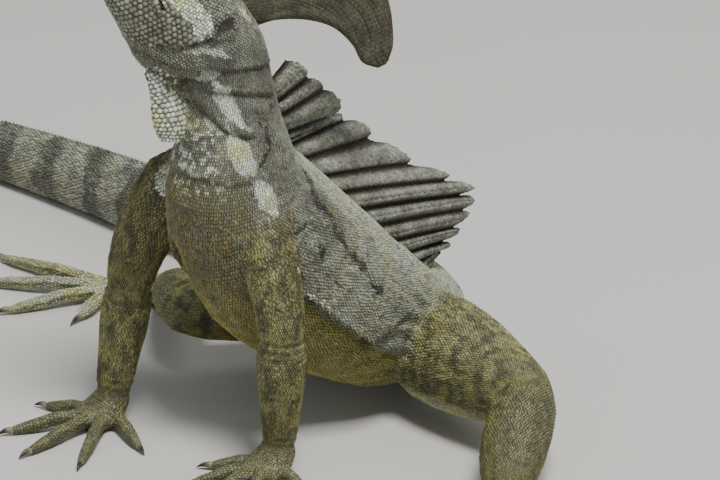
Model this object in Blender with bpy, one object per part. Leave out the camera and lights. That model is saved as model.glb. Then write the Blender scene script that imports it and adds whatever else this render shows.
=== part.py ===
"""A life-size basilisk lizard, propped up on straight forelegs with its head raised.

The axial body is one loft from the snout to the tip of the tail, parted by thin
gaps into head, neck, torso and tail lengths. Limbs, crests, claws and eyes are
pieces of their own that meet it with the same gap.

Every place is written in body units, which are millimetres on an animal of the
stated snout to vent length. Before the last step the animal looks along -Y, its
left is +X, the floor is z = 0, and the origin is under its shoulders.
"""

import math

import bmesh
import bpy
import numpy as np

# Driving size: from the tip of the snout to the vent, in metres.
SNOUT_VENT = 0.219
UNIT = SNOUT_VENT / 219
# Touching pieces stay this far apart, in metres.
GAP = 0.0003
# Sides of the lofted sections.
BODY_SIDES = 26
TAIL_SIDES = 16
LIMB_SIDES = 12
DIGIT_SIDES = 7

# Pose of the head: turned to the animal's right, and raised, in degrees.
HEAD_TURN = 27
HEAD_PITCH = 55
HEAD_LENGTH = 58

# The axial body from the tip of the tail to the nape. Each row: place of the
# section's centre, half width, height above and depth below the centre, and how
# square the upper and lower halves are (2 is an ellipse, less is keeled).
# The last value turns the section's left side, in degrees; None follows the line.
BODY_LINE = {
    "tail_tip": ((-312, -128, 0.8), 0.6, 0.7, 0.9, 2.0, 2.0, None),
    "tail_thin": ((-334, -80, 1.8), 1.6, 2.0, 1.9, 1.9, 2.0, None),
    "tail_whip": ((-349, -28, 2.9), 2.6, 3.2, 3.0, 1.9, 2.0, None),
    "tail_far": ((-347, 27, 4.2), 3.7, 4.7, 4.3, 1.8, 2.1, None),
    "tail_turn": ((-325, 79, 6.0), 4.9, 6.6, 6.1, 1.8, 2.1, None),
    "tail_bend": ((-280, 117, 8.1), 6.1, 8.8, 8.2, 1.7, 2.2, None),
    "tail_mid": ((-224, 132, 10.2), 7.3, 10.8, 10.3, 1.7, 2.2, None),
    "tail_thick": ((-169, 129, 12.0), 8.6, 12.4, 12.1, 1.6, 2.2, None),
    "tail_deep": ((-115, 121, 13.4), 9.8, 13.8, 13.5, 1.6, 2.3, None),
    "tail_base": ((-62, 117, 14.6), 10.9, 14.6, 14.7, 1.7, 2.3, None),
    "tail_root": ((-20, 111, 15.6), 12.2, 15.0, 15.3, 1.8, 2.2, None),
    "vent": ((4, 96, 17.4), 14.0, 15.8, 15.7, 1.9, 2.2, -36),
    "hips": ((12, 79, 21.5), 16.5, 17.5, 18.4, 1.8, 2.1, -24),
    "loin": ((12, 61, 32.5), 22.0, 20.5, 26.0, 1.7, 2.1, -12),
    "waist": ((7.4, 43, 47.5), 26.0, 23.5, 31.0, 1.6, 2.1, -3),
    "ribs": ((2, 26, 64.5), 27.0, 24.5, 33.0, 1.6, 2.1, -4),
    "shoulders": ((-1, 12, 83.0), 23.0, 22.5, 27.0, 1.7, 2.1, -8),
    "neck_root": ((-1, 8, 101.0), 16.6, 18.0, 19.0, 1.8, 2.1, 4),
    "neck": ((-2.2, 7.2, 116.0), 13.8, 14.6, 15.6, 1.9, 2.1, 17),
    "nape": ((-4, 4.2, 130.4), 14.6, 14.5, 16.6, 2.1, 2.0, HEAD_TURN),
}
STATIONS = list(BODY_LINE)

# The head along its own axis from the nape: distance, half width, height, depth,
# squareness above and below.
HEAD_LINE = (
    (13, 16.6, 15.0, 21.0, 2.3, 1.8),
    (21, 16.2, 14.8, 20.0, 2.5, 1.8),
    (28, 14.8, 14.4, 18.8, 2.7, 1.9),
    (37, 11.6, 12.2, 17.4, 2.8, 2.0),
    (46, 8.8, 8.8, 13.4, 2.6, 2.2),
    (54, 6.4, 6.0, 7.6, 2.4, 2.4),
    (HEAD_LENGTH, 3.4, 3.2, 4.2, 2.2, 2.2),
)


def spot(place):
    """A place in body units as a point in metres."""
    return np.array(place, float) * UNIT


def unit(vector):
    return vector / np.linalg.norm(vector)


def head_axes():
    """Forward, left and up directions of the head."""
    turn = math.radians(HEAD_TURN)
    pitch = math.radians(HEAD_PITCH)
    left = np.array((math.cos(turn), -math.sin(turn), 0.0))
    ahead = np.array((-math.sin(turn), -math.cos(turn), 0.0))
    forward = ahead * math.cos(pitch) + np.array((0.0, 0.0, math.sin(pitch)))
    return forward, left, np.cross(forward, left)


HEAD_FORWARD, HEAD_LEFT, HEAD_UP = head_axes()
NAPE = spot(BODY_LINE["nape"][0])


def in_head(ahead, up, side=0.0):
    """A point given from the nape in the head's own directions, in body units."""
    return NAPE + (HEAD_FORWARD * ahead + HEAD_UP * up + HEAD_LEFT * side) * UNIT


def curve_value(rows, s):
    """Catmull-Rom value of the rows at a place s counted in rows."""
    last = len(rows) - 1
    i = int(min(max(math.floor(s), 0), last - 1))
    f = s - i
    a = rows[i - 1] if i > 0 else 2 * rows[0] - rows[1]
    b, c = rows[i], rows[i + 1]
    d = rows[i + 2] if i + 2 <= last else 2 * rows[last] - rows[last - 1]
    return 0.5 * (
        2 * b + (c - a) * f + (2 * a - 5 * b + 4 * c - d) * f**2 + (3 * b - a - 3 * c + d) * f**3
    )


def axial_rows():
    """Stations of the whole axial body: centre, left hint and the five section sizes."""
    rows = []
    centres = [spot(BODY_LINE[name][0]) for name in STATIONS]
    for i, name in enumerate(STATIONS):
        turn = BODY_LINE[name][6]
        if turn is None:
            ahead = centres[i + 1] - centres[max(i - 1, 0)]
            left = unit(np.cross((0.0, 0.0, 1.0), ahead))
        else:
            a = math.radians(turn)
            left = np.array((math.cos(a), -math.sin(a), 0.0))
        sizes = [BODY_LINE[name][k] * UNIT for k in (1, 2, 3)] + list(BODY_LINE[name][4:6])
        rows.append(np.concatenate((centres[i], left, sizes)))
    for ahead, width, up, down, top, bottom in HEAD_LINE:
        sizes = (width * UNIT, up * UNIT, down * UNIT, top, bottom)
        rows.append(np.concatenate((in_head(ahead, 0), HEAD_LEFT, sizes)))
    return np.array(rows)


AXIAL = axial_rows()
NAPE_ROW = STATIONS.index("nape")
SNOUT_ROW = len(AXIAL) - 1


def section_frame(rows, s):
    """Centre, forward, left, up and sizes of the section at s."""
    row = curve_value(rows, s)
    step = 0.02
    forward = unit(curve_value(rows, s + step)[:3] - curve_value(rows, s - step)[:3])
    left = row[3:6]
    left = unit(left - forward * (left @ forward))
    return row[:3], forward, left, np.cross(forward, left), row[6:]


def section_point(rows, s, angle, grow=0.0):
    """A point of the lofted surface. Angle 0 is the left side and 90 degrees the top."""
    centre, _, left, up, (width, above, below, top, bottom) = section_frame(rows, s)
    c, n = math.cos(angle), math.sin(angle)
    power = 2 / (top if n > 0 else bottom)
    height = above if n > 0 else below
    x = math.copysign(abs(c) ** power, c) * (width + grow)
    y = math.copysign(abs(n) ** power, n) * (height + grow)
    return centre + left * x + up * y


def ring(rows, s, sides, grow=0.0):
    return [section_point(rows, s, 2 * math.pi * k / sides, grow) for k in range(sides)]


def mesh_object(name, points, faces):
    mesh = bpy.data.meshes.new(name)
    mesh.from_pydata([tuple(p) for p in points], [], faces)
    mesh.validate()
    built = bpy.data.objects.new(name, mesh)
    bpy.context.scene.collection.objects.link(built)
    face_outwards(built)
    return built


def face_outwards(piece):
    bm = bmesh.new()
    bm.from_mesh(piece.data)
    bmesh.ops.recalc_face_normals(bm, faces=bm.faces)
    if bm.calc_volume(signed=True) < 0:
        bmesh.ops.reverse_faces(bm, faces=bm.faces)
    bm.to_mesh(piece.data)
    bm.free()


def loft(name, rings, tip=None):
    """A closed body through rings of equal count, with flat ends or an end at a tip point."""
    sides = len(rings[0])
    points = [p for r in rings for p in r]
    faces = []
    for i in range(len(rings) - 1):
        for k in range(sides):
            a, b = i * sides + k, i * sides + (k + 1) % sides
            faces.append((a, b, b + sides, a + sides))
    start = len(points)
    points.append(np.mean(rings[0], axis=0))
    points.append(np.mean(rings[-1], axis=0) if tip is None else tip)
    base = (len(rings) - 1) * sides
    for k in range(sides):
        faces.append((start, (k + 1) % sides, k))
        faces.append((start + 1, base + k, base + (k + 1) % sides))
    return mesh_object(name, points, faces)


def span(start, end, count):
    return [start + (end - start) * i / (count - 1) for i in range(count)]


def axial_length(name, start, end, count, sides, tip=None):
    """The stretch of the axial body between two stations, half a gap short at each end."""
    places = span(start, end, count)
    for k, sign in ((0, 1), (-1, -1)):
        s = places[k]
        ahead = curve_value(AXIAL, s + 0.01)[:3] - curve_value(AXIAL, s - 0.01)[:3]
        places[k] = s + sign * 0.5 * GAP * 0.02 / np.linalg.norm(ahead)
    return loft(name, [ring(AXIAL, s, sides) for s in places], tip)


def remove(pieces):
    for piece in pieces:
        mesh = piece.data
        bpy.data.objects.remove(piece)
        bpy.data.meshes.remove(mesh)


def boolean(piece, others, operation, solver="EXACT"):
    """Joins or cuts the piece with closed mesh objects, which are removed."""
    group = bpy.data.collections.new(piece.name + "_tools")
    bpy.context.scene.collection.children.link(group)
    for other in others:
        group.objects.link(other)
    modifier = piece.modifiers.new("boolean", "BOOLEAN")
    modifier.operation = operation
    modifier.operand_type = "COLLECTION"
    modifier.collection = group
    modifier.solver = solver
    bpy.context.view_layer.update()
    graph = bpy.context.evaluated_depsgraph_get()
    result = bpy.data.meshes.new_from_object(piece.evaluated_get(graph))
    piece.modifiers.clear()
    old = piece.data
    piece.data = result
    bpy.data.meshes.remove(old)
    remove(others)
    bpy.data.collections.remove(group)
    keep_largest(piece)
    return piece


def keep_largest(piece):
    """Welds slivers and leaves only the largest closed surface of the piece."""
    bm = bmesh.new()
    bm.from_mesh(piece.data)
    bmesh.ops.remove_doubles(bm, verts=bm.verts, dist=2e-6)
    bmesh.ops.triangulate(bm, faces=bm.faces)
    left = set(bm.faces)
    islands = []
    while left:
        island, queue = set(), [left.pop()]
        while queue:
            face = queue.pop()
            island.add(face)
            for edge in face.edges:
                for other in edge.link_faces:
                    if other in left:
                        left.remove(other)
                        queue.append(other)
        islands.append(island)
    largest = max(islands, key=len)
    loose = [f for f in bm.faces if f not in largest]
    bmesh.ops.delete(bm, geom=loose, context="FACES")
    bm.to_mesh(piece.data)
    bm.free()


def ellipsoid(name, centre, axes, sizes, segments=16, rings=10):
    """A closed ellipsoid with half sizes along three directions."""
    bm = bmesh.new()
    bmesh.ops.create_uvsphere(bm, u_segments=segments, v_segments=rings, radius=1)
    mesh = bpy.data.meshes.new(name)
    bm.to_mesh(mesh)
    bm.free()
    co = np.array([v.co for v in mesh.vertices]) * np.array(sizes)
    mesh.vertices.foreach_set("co", (co @ np.array(axes) + centre).ravel())
    built = bpy.data.objects.new(name, mesh)
    bpy.context.scene.collection.objects.link(built)
    face_outwards(built)
    return built


def tube_rings(rows, sides, count):
    """Rings through rows of (x, y, z, half side, half depth), smoothly joined."""
    rows = np.array(rows, float)
    samples = [curve_value(rows, s) for s in span(0, len(rows) - 1, count)]
    rings = []
    side = None
    for i, row in enumerate(samples):
        ahead = samples[min(i + 1, count - 1)][:3] - samples[max(i - 1, 0)][:3]
        ahead = unit(ahead)
        hint = side if side is not None else np.cross(ahead, (0.0, 0.1, 1.0))
        side = unit(hint - ahead * (hint @ ahead))
        depth = np.cross(ahead, side)
        rings.append([
            row[:3] + side * row[3] * math.cos(a) + depth * row[4] * math.sin(a)
            for a in (2 * math.pi * k / sides for k in range(sides))
        ])
    return rings


def tube(name, rows, sides, count, tip=None):
    return loft(name, tube_rings(rows, sides, count), tip)


def body_rows(places_and_sizes):
    """Rows in body units turned into metres."""
    return [[value * UNIT for value in row] for row in places_and_sizes]


def floor_cutter():
    """A slab under the floor, which cuts the undersides of the feet flat."""
    bpy.ops.mesh.primitive_cube_add(size=1)
    slab = bpy.context.object
    slab.scale = (1.2, 1.2, 0.05)
    slab.location = (-0.1, 0.05, -0.025)
    bpy.ops.object.transform_apply(location=True, scale=True)
    return slab


def fin(name, places, thickness, sides_of):
    """A thin fin: a grid of points in its middle, thickened to both sides with like triangles."""
    columns, rows = len(places), len(places[0])
    points = []
    for sign in (1, -1):
        for i in range(columns):
            for j in range(rows):
                points.append(places[i][j] + sides_of[i] * sign * thickness[i][j] / 2)
    half = columns * rows
    faces = []
    for i in range(columns - 1):
        for j in range(rows - 1):
            a, b = i * rows + j, (i + 1) * rows + j
            c, d = b + 1, a + 1
            faces += [(a, b, c), (a, c, d)]
            faces += [(half + c, half + b, half + a), (half + d, half + c, half + a)]
    border = [i * rows for i in range(columns)]
    border += [(columns - 1) * rows + j for j in range(1, rows)]
    border += [i * rows + rows - 1 for i in range(columns - 2, -1, -1)]
    border += [j for j in range(rows - 2, 0, -1)]
    for k, a in enumerate(border):
        b = border[(k + 1) % len(border)]
        faces.append((b, a, half + a, half + b))
    return mesh_object(name, points, faces)


# Axial body: torso from the pelvis to the root of the neck, neck, and five tail lengths.
TORSO_START = STATIONS.index("vent") - 0.6
NECK_START = STATIONS.index("neck_root") + 0.1
HEAD_START = NAPE_ROW + 0.1


LENGTHS = {
    "head": (HEAD_START, SNOUT_ROW, 17),
    "neck": (NECK_START, HEAD_START, 9),
    "torso": (TORSO_START, NECK_START, 20),
    "tail_1": (8.4, TORSO_START, 9),
    "tail_2": (6.9, 8.4, 9),
    "tail_3": (4.9, 6.9, 8),
    "tail_4": (2.6, 4.9, 8),
    "tail_5": (0, 2.6, 7),
}


def axial_cutter(names=("tail_2", "tail_1", "torso", "neck", "head")):
    """Neighbouring axial lengths grown by the gap, for what grows out of them."""
    places = []
    for name in names:
        places += span(*LENGTHS[name])[:-1]
    places.append(LENGTHS[names[-1]][1])
    return loft("axial_cutter", [ring(AXIAL, s, BODY_SIDES, GAP) for s in places])


def trunk():
    for name in ("neck", "torso"):
        axial_length(name, *LENGTHS[name], BODY_SIDES)
    for name in list(LENGTHS)[3:]:
        length = axial_length(name, *LENGTHS[name], TAIL_SIDES)
        boolean(length, [floor_cutter()], "DIFFERENCE")


# Head: eyes in lidded sockets under a brow ridge, lips, mouth line, nostrils, ear dishes.
EYE = (34.0, 3.4)
EYE_RADIUS = 4.7
NOSTRIL = (52.5, 2.6)
EAR = (8.5, 0.5)
# Rows of the brow ridge: ahead, up, how far out of the surface, radius.
BROW = (
    (47, 7.0, 0.2, 1.0),
    (41, 9.6, 0.4, 1.7),
    (34, 11.2, 0.6, 2.1),
    (26, 11.4, 0.2, 1.9),
    (19, 10.6, -0.6, 1.2),
)
MOUTH = ((17, -8.4), (23, -7.0), (30, -6.0), (37, -5.4), (44, -4.4), (51, -3.0), (56, -1.9))


def head_side(ahead, up):
    """Distance of the head's surface from its median plane, in body units."""
    places = [0.0] + [row[0] for row in HEAD_LINE]
    nape = BODY_LINE["nape"]
    table = np.array([nape[1:6]] + [row[1:6] for row in HEAD_LINE], float)
    width, above, below, top, bottom = (np.interp(ahead, places, table[:, k]) for k in range(5))
    height, power = (above, top) if up > 0 else (below, bottom)
    return width * max(0.0, 1 - abs(up / height) ** power) ** (1 / power)


def mouth_slot():
    """A thin plate that follows the mouth line round the snout, from one corner to the other."""
    path = [(a, u, head_side(a, u)) for a, u in MOUTH]
    path += [(HEAD_LENGTH + 0.6, -1.5, 0.0)]
    path += [(a, u, -head_side(a, u)) for a, u in reversed(MOUTH)]
    places, thickness = [], []
    for ahead, up, side in path:
        inward = np.array((-1.0 if abs(side) < 4 else -0.25, -np.sign(side)))
        inward = inward / np.linalg.norm(inward)
        column = []
        for depth in (1.1, -1.5):
            column.append(in_head(ahead + inward[0] * depth, up, side + inward[1] * depth))
        places.append(column)
        thickness.append([0.55 * UNIT] * 2)
    return fin("mouth_slot", places, thickness, [HEAD_UP] * len(path))


def lip(name, sign, lift, radius):
    rows = []
    for ahead, up in MOUTH:
        side = head_side(ahead, up + lift) - 0.45
        rows.append((*in_head(ahead, up + lift, sign * side), radius * UNIT, radius * UNIT))
    return tube(name, rows, 6, 9)


def head():
    skull = axial_length("head", *LENGTHS["head"], BODY_SIDES, tip=in_head(HEAD_LENGTH + 1, -0.4))
    added, cut = [], [mouth_slot()]
    for sign in (1, -1):
        side = head_side(*EYE)
        centre = in_head(*EYE, sign * (side - 1.2))
        axes = (HEAD_FORWARD, HEAD_UP, HEAD_LEFT)
        lids = in_head(*EYE, sign * (side - 1.6))
        added.append(ellipsoid("lids", lids, axes, np.array((7.4, 6.0, 4.6)) * UNIT, 16, 10))
        brow = []
        for ahead, up, out, radius in BROW:
            place = in_head(ahead, up, sign * (head_side(ahead, up) + out))
            brow.append((*place, radius * UNIT, radius * UNIT))
        added.append(tube("brow", brow, 8, 10))
        added.append(lip("upper_lip", sign, 1.5, 1.15))
        added.append(lip("lower_lip", sign, -1.5, 1.15))
        cut.append(ellipsoid("socket", centre, axes, np.full(3, EYE_RADIUS * UNIT + GAP), 12, 9))
        opening = in_head(EYE[0], EYE[1] - 0.2, sign * (side + 3.2))
        cut.append(ellipsoid("lid_opening", opening, axes, np.array((5.4, 3.5, 4.2)) * UNIT, 12, 8))
        nose = in_head(*NOSTRIL, sign * head_side(*NOSTRIL))
        cut.append(ellipsoid("nostril", nose, axes, np.array((1.3, 0.9, 1.6)) * UNIT, 8, 6))
        ear = in_head(*EAR, sign * (head_side(*EAR) + 0.2))
        cut.append(ellipsoid("ear_dish", ear, axes, np.array((3.0, 4.0, 1.5)) * UNIT, 10, 6))
    boolean(skull, added, "UNION")
    boolean(skull, cut, "DIFFERENCE")
    return skull


def eyes():
    axes = (HEAD_FORWARD, HEAD_UP, HEAD_LEFT)
    for label, sign in (("left", 1), ("right", -1)):
        centre = in_head(*EYE, sign * (head_side(*EYE) - 1.2))
        ellipsoid(f"eye_{label}", centre, axes, np.full(3, EYE_RADIUS * UNIT), 12, 9)


# Casque: upper and lower outlines of the lobe in the head's median plane, front to tip.
CASQUE_TOP = (
    (29, 12.5),
    (23.5, 26.0),
    (13.5, 39.0),
    (1.0, 48.6),
    (-9.5, 52.6),
    (-19.0, 52.6),
    (-27.5, 50.2),
    (-34.5, 46.8),
    (-40.0, 43.0),
    (-42.6, 38.6),
)
CASQUE_FOOT = (
    (25, 7),
    (16, 7),
    (7, 8),
    (-1, 11),
    (-6, 19.6),
    (-13, 27.0),
    (-21, 32.0),
    (-30, 33.6),
    (-37, 32.8),
    (-41.6, 35.2),
)


def casque():
    top, foot = np.array(CASQUE_TOP, float), np.array(CASQUE_FOOT, float)
    columns, rows = 25, 6
    places, thickness = [], []
    for i in range(columns):
        s = (len(top) - 1) * i / (columns - 1)
        high, low = curve_value(top, s), curve_value(foot, s)
        column, widths = [], []
        for j in range(rows):
            v = j / (rows - 1)
            at = high + (low - high) * v
            column.append(in_head(*at))
            rim = min(1.0, 0.5 + 1.8 * v) * (1.0 if s < 3 else min(1.0, 0.5 + 1.8 * (1 - v)))
            fold = 0.5 * math.cos(2 * math.pi * 6.5 * i / (columns - 1))
            widths.append(((2.7 + 3.6 * max(0.0, 1 - s / 5) * v) * rim + fold * v * (1 - v)) * UNIT)
        places.append(column)
        thickness.append(widths)
    piece = fin("casque", places, thickness, [HEAD_LEFT] * columns)
    return boolean(piece, [axial_cutter()], "DIFFERENCE")


# Back crest: for places along the back, the length of a ray and its rise above the back.
CREST = (
    (11.1, 6, 28),
    (12.0, 16, 28),
    (12.8, 28, 30),
    (13.3, 38, 33),
    (13.7, 49, 35),
    (14.2, 56, 35),
    (14.7, 52, 37),
    (15.1, 44, 42),
    (15.4, 39, 48),
    (16.7, 33, 80),
    (17.3, 22, 100),
    (17.85, 12, 122),
)
CREST_RAYS = 16


def back_crest():
    """A membrane on the middle of the back, swept backwards and held by thick rays."""
    table = np.array(CREST)
    columns, rows = CREST_RAYS * 3 + 1, 5
    places, thickness, sideways = [], [], []
    for i in range(columns):
        s = table[0, 0] + (table[-1, 0] - table[0, 0]) * i / (columns - 1)
        length = np.interp(s, table[:, 0], table[:, 1]) * UNIT
        rise = math.radians(np.interp(s, table[:, 0], table[:, 2]))
        centre, forward, left, up, sizes = section_frame(AXIAL, s)
        ray = (0.1, 1.0, 0.9)[i % 3]
        root = centre + up * (sizes[1] - 1.6 * UNIT)
        way = up * math.sin(rise) - forward * math.cos(rise)
        column, widths = [], []
        for j in range(rows):
            v = j / (rows - 1)
            reach = 3.0 * UNIT * (1 - v) + length * (0.93 + 0.07 * ray) * v
            droop = -0.03 * length * v * v
            column.append(root + way * (reach if j else 0) + up * droop)
            widths.append((0.8 + (2.5 - 1.2 * v) * ray) * UNIT)
        places.append(column)
        thickness.append(widths)
        sideways.append(left)
    piece = fin("back_crest", places, thickness, sideways)
    return boolean(piece, [axial_cutter()], "DIFFERENCE")


# Dewlap: a narrow pleat of loose skin down the throat, from under the jaw to the chest.
DEWLAP = (
    (-9.8, -15.8, 130.5, 2.2, 4.4),
    (-9.0, -13.9, 126.5, 3.0, 6.0),
    (-8.4, -12.0, 121, 3.6, 7.0),
    (-8.2, -11.5, 114.5, 3.8, 7.0),
    (-8.3, -11.8, 108.5, 3.2, 5.8),
    (-8.6, -12.6, 104.6, 2.0, 3.2),
)


def dewlap():
    piece = tube("dewlap", [[value * UNIT for value in row] for row in DEWLAP], 10, 11)
    return boolean(piece, [axial_cutter()], "DIFFERENCE")


# Limbs, from the body outwards: places in body units with half side and half depth.
UPPER_ARM = {
    "left": (
        (5, 8, 84, 9, 9),
        (12.4, 3.6, 78, 10.4, 10.4),
        (19.4, 1, 66, 8.8, 9.2),
        (23.6, -0.5, 54, 7.6, 8),
        (24.4, -1, 46, 6.9, 7.3),
        (24.6, -1, 41, 4.6, 5),
    ),
    "right": (
        (-10, 10, 89, 9, 9),
        (-21.4, 6, 83, 11, 11),
        (-30.4, 4, 69, 9.8, 10.2),
        (-36.4, 3.4, 56, 8.2, 8.6),
        (-38.6, 3, 47, 7, 7.4),
        (-39.4, 2.8, 41, 4.6, 5),
    ),
}
FOREARM = {
    "left": (
        (24.4, -1, 48, 6.2, 6.6),
        (24.6, -1, 42, 7.3, 7.7),
        (24.4, -0.8, 34, 7.4, 7.8),
        (23.2, 0, 22, 6.3, 6.4),
        (22.2, 0.8, 13, 5.6, 5.4),
        (22, 0.8, 8, 4.4, 4.2),
    ),
    "right": (
        (-38.4, 3, 48, 6.2, 6.6),
        (-39.4, 2.8, 42, 7.4, 7.8),
        (-40.6, 2.2, 34, 7.8, 8),
        (-42, 0.8, 22, 6.5, 6.6),
        (-43, -0.2, 13, 5.8, 5.6),
        (-43.4, -0.6, 8, 4.4, 4.2),
    ),
}
THIGH = {
    "left": (
        (14, 76, 22.5, 14, 14),
        (31, 68, 21.6, 17.6, 17.4),
        (48, 62.4, 21.6, 16.6, 16.4),
        (63, 57.6, 21.4, 13.6, 13.6),
        (74, 54, 21, 10.8, 10.8),
        (80.4, 51, 20.4, 7.2, 7.2),
    ),
    "right": (
        (4, 80, 24, 12, 12),
        (-10, 74, 23.6, 15, 14.6),
        (-25, 64, 23.4, 14, 14),
        (-38, 54, 22.2, 11.8, 11.8),
        (-48, 47, 20.5, 9.8, 9.8),
        (-53.5, 43, 19.5, 6.6, 6.6),
    ),
}
SHANK = {
    "left": (
        (73, 58, 21.4, 8, 8),
        (79, 49, 20.5, 9.9, 9.9),
        (86, 36, 18.4, 10.7, 10.4),
        (93.5, 22, 14.4, 9.6, 9.4),
        (100.4, 11, 10.8, 6.4, 6.2),
        (104.6, 4.4, 8.8, 4.4, 4.2),
    ),
    "right": (
        (-46, 44, 20.5, 7, 7),
        (-53, 48, 19.6, 9.2, 9.2),
        (-63, 57, 17.2, 9.8, 9.4),
        (-74, 67, 13.4, 8.4, 8),
        (-83, 75, 10, 5.8, 5.6),
        (-88.6, 79.4, 8.4, 4.2, 4),
    ),
}
# Each palm or sole: places with half side and half depth. Each digit: root, tip and root size.
HAND_PALM = {
    "left": (
        (22.1, 2.4, 9.4, 4.8, 4.6),
        (22, -1.0, 6.4, 6.6, 5.2),
        (21.6, -6.4, 3.4, 7.6, 3.8),
        (21.2, -11, 2.6, 5.4, 2.9),
    ),
    "right": (
        (-43.3, 1.6, 9.4, 4.8, 4.6),
        (-43.6, -2.4, 6.4, 6.8, 5.2),
        (-44.6, -8, 3.4, 7.8, 3.8),
        (-45.4, -12.6, 2.6, 5.4, 2.9),
    ),
}
HAND_DIGITS = {
    "left": (
        ((18, -2.5), (4.6, -10.6), 2.3),
        ((18.6, -7), (8.4, -24), 2.3),
        ((21, -8.5), (18.6, -32), 2.4),
        ((23.6, -8), (32, -29), 2.4),
        ((25.6, -3.6), (41, -8.6), 2.2),
    ),
    "right": (
        ((-39.6, -4), (-22, -13.6), 2.3),
        ((-41.2, -8), (-28.6, -33), 2.3),
        ((-44, -10), (-46, -37), 2.4),
        ((-47, -9), (-60.6, -29), 2.4),
        ((-48.6, -4.8), (-65, -7.6), 2.2),
    ),
}
FOOT_SOLE = {
    "left": (
        (104, 7, 8.4, 4.6, 4.6),
        (106.6, 0.6, 6.2, 6, 5),
        (109, -9, 4.2, 6.2, 4.2),
        (110.6, -18, 3.2, 6.4, 3.4),
        (111.2, -22, 2.6, 4.4, 2.8),
    ),
    "right": (
        (-86.6, 79.6, 8.4, 4.6, 4.6),
        (-92.4, 78, 6.2, 6, 5),
        (-101.4, 74.8, 4.2, 6.2, 4.2),
        (-109.6, 72.2, 3.2, 6.4, 3.4),
        (-113.6, 71.2, 2.6, 4.4, 2.8),
    ),
}
FOOT_DIGITS = {
    "left": (
        ((106.6, -14), (98.4, -33), 2.3),
        ((108, -17.6), (99.6, -48), 2.5),
        ((110, -18.6), (107.6, -60), 2.6),
        ((112.4, -18), (120.6, -66), 2.6),
        ((108.6, -3), (128, -25.6), 2.3),
    ),
    "right": (
        ((-106, 70), (-103.6, 52.6), 2.3),
        ((-109.6, 69.4), (-125.6, 42.6), 2.5),
        ((-110.6, 71.6), (-147, 56), 2.6),
        ((-110.4, 74), (-157, 75), 2.6),
        ((-94, 80), (-127, 97.4), 2.3),
    ),
}
# Along a digit: share of its length, lift off the floor, share of its root size.
DIGIT_LINE = (
    (0, 1.4, 1.1),
    (0.22, 1.5, 1.0),
    (0.45, 1.5, 0.98),
    (0.62, 0.5, 0.98),
    (0.8, 0.3, 0.86),
    (1, 0.1, 0.62),
)
CLAW = {"hand": 4.6, "foot": 5.6}


def grown(name, rows, sides, count):
    """The same limb length grown by the gap, as a cutter for the next one."""
    rows = [[*row[:3], row[3] + GAP, row[4] + GAP] for row in rows]
    return tube(name, rows, sides, count)


def limb(prefix, label, lengths, first_cutter):
    """Upper and lower lengths of a limb, each cut by the one before it."""
    previous = first_cutter
    for name, table in lengths:
        rows = body_rows(table[label])
        piece = tube(f"{name}_{label}", rows, LIMB_SIDES, 10)
        boolean(piece, [previous], "DIFFERENCE")
        previous = grown("cutter", rows, LIMB_SIDES, 10)
    return previous


def digit_rows(root, tip, size):
    """A digit that arches off the sole and comes down on its pads and its last joint."""
    root, tip = np.array(root, float), np.array(tip, float)
    rows = []
    for t, lift, radius in DIGIT_LINE:
        place = root + (tip - root) * t
        rows.append((*place, size * radius - 0.14 + lift, size * radius, size * radius))
    return rows


def paw(kind, label, palm, digits, cutter):
    piece = tube(f"{kind}_{label}", body_rows(palm[label]), 10, 7)
    toes = []
    for k, (root, tip, size) in enumerate(digits[label]):
        rows = digit_rows(root, tip, size)
        toes.append(tube("digit", body_rows(rows), DIGIT_SIDES, 8))
        claw(kind, label, k + 1, rows)
    boolean(piece, toes, "UNION")
    boolean(piece, [cutter, floor_cutter()], "DIFFERENCE")
    return piece


def claw(kind, label, number, rows):
    """A curved claw that leaves the flat end of its digit and bends down to the floor."""
    last, before = np.array(rows[-1], float), np.array(rows[-2], float)
    way = last[:3] - before[:3]
    way[2] = 0
    way = unit(way)
    length = CLAW[kind]
    start = last[:3] + unit(last[:3] - before[:3]) * (GAP / UNIT + 0.05)
    size = last[3] * 0.86
    rings = []
    for t, lift, radius in ((0, 0.1, 1.0), (0.3, 0.35, 0.85), (0.6, 0.15, 0.6), (0.85, -0.35, 0.32)):
        place = start + way * length * t + np.array((0, 0, lift))
        side = np.cross(way, (0, 0, 1)) * size * radius
        height = np.array((0, 0, size * radius))
        rings.append([
            (place + side * math.cos(a) + height * math.sin(a)) * UNIT
            for a in (2 * math.pi * k / 6 for k in range(6))
        ])
    tip = (start + way * length + np.array((0, 0, -0.75 * size))) * UNIT
    return loft(f"claw_{kind}_{label}_{number}", rings, tip)


# Colours as red, green, blue, then roughness, for each sort of piece by the start of its name.
LOOKS = (
    ("eye", (0.30, 0.16, 0.05), 0.15),
    ("claw", (0.10, 0.08, 0.06), 0.4),
    ("casque", (0.12, 0.12, 0.09), 0.7),
    ("back_crest", (0.17, 0.13, 0.10), 0.75),
    ("dewlap", (0.38, 0.42, 0.30), 0.7),
    ("tail", (0.22, 0.20, 0.12), 0.7),
    ("torso", (0.24, 0.25, 0.12), 0.65),
    ("", (0.22, 0.23, 0.11), 0.68),
)


def material_for(name):
    start, colour, roughness = next(look for look in LOOKS if name.startswith(look[0]))
    made = bpy.data.materials.new(name + "_skin" if start not in ("eye", "claw") else name + "_surface")
    made.use_nodes = True
    shader = made.node_tree.nodes["Principled BSDF"]
    shader.inputs["Base Color"].default_value = (*colour, 1)
    shader.inputs["Roughness"].default_value = roughness
    shader.inputs["Metallic"].default_value = 0
    made.diffuse_color = (*colour, 1)
    return made


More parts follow.
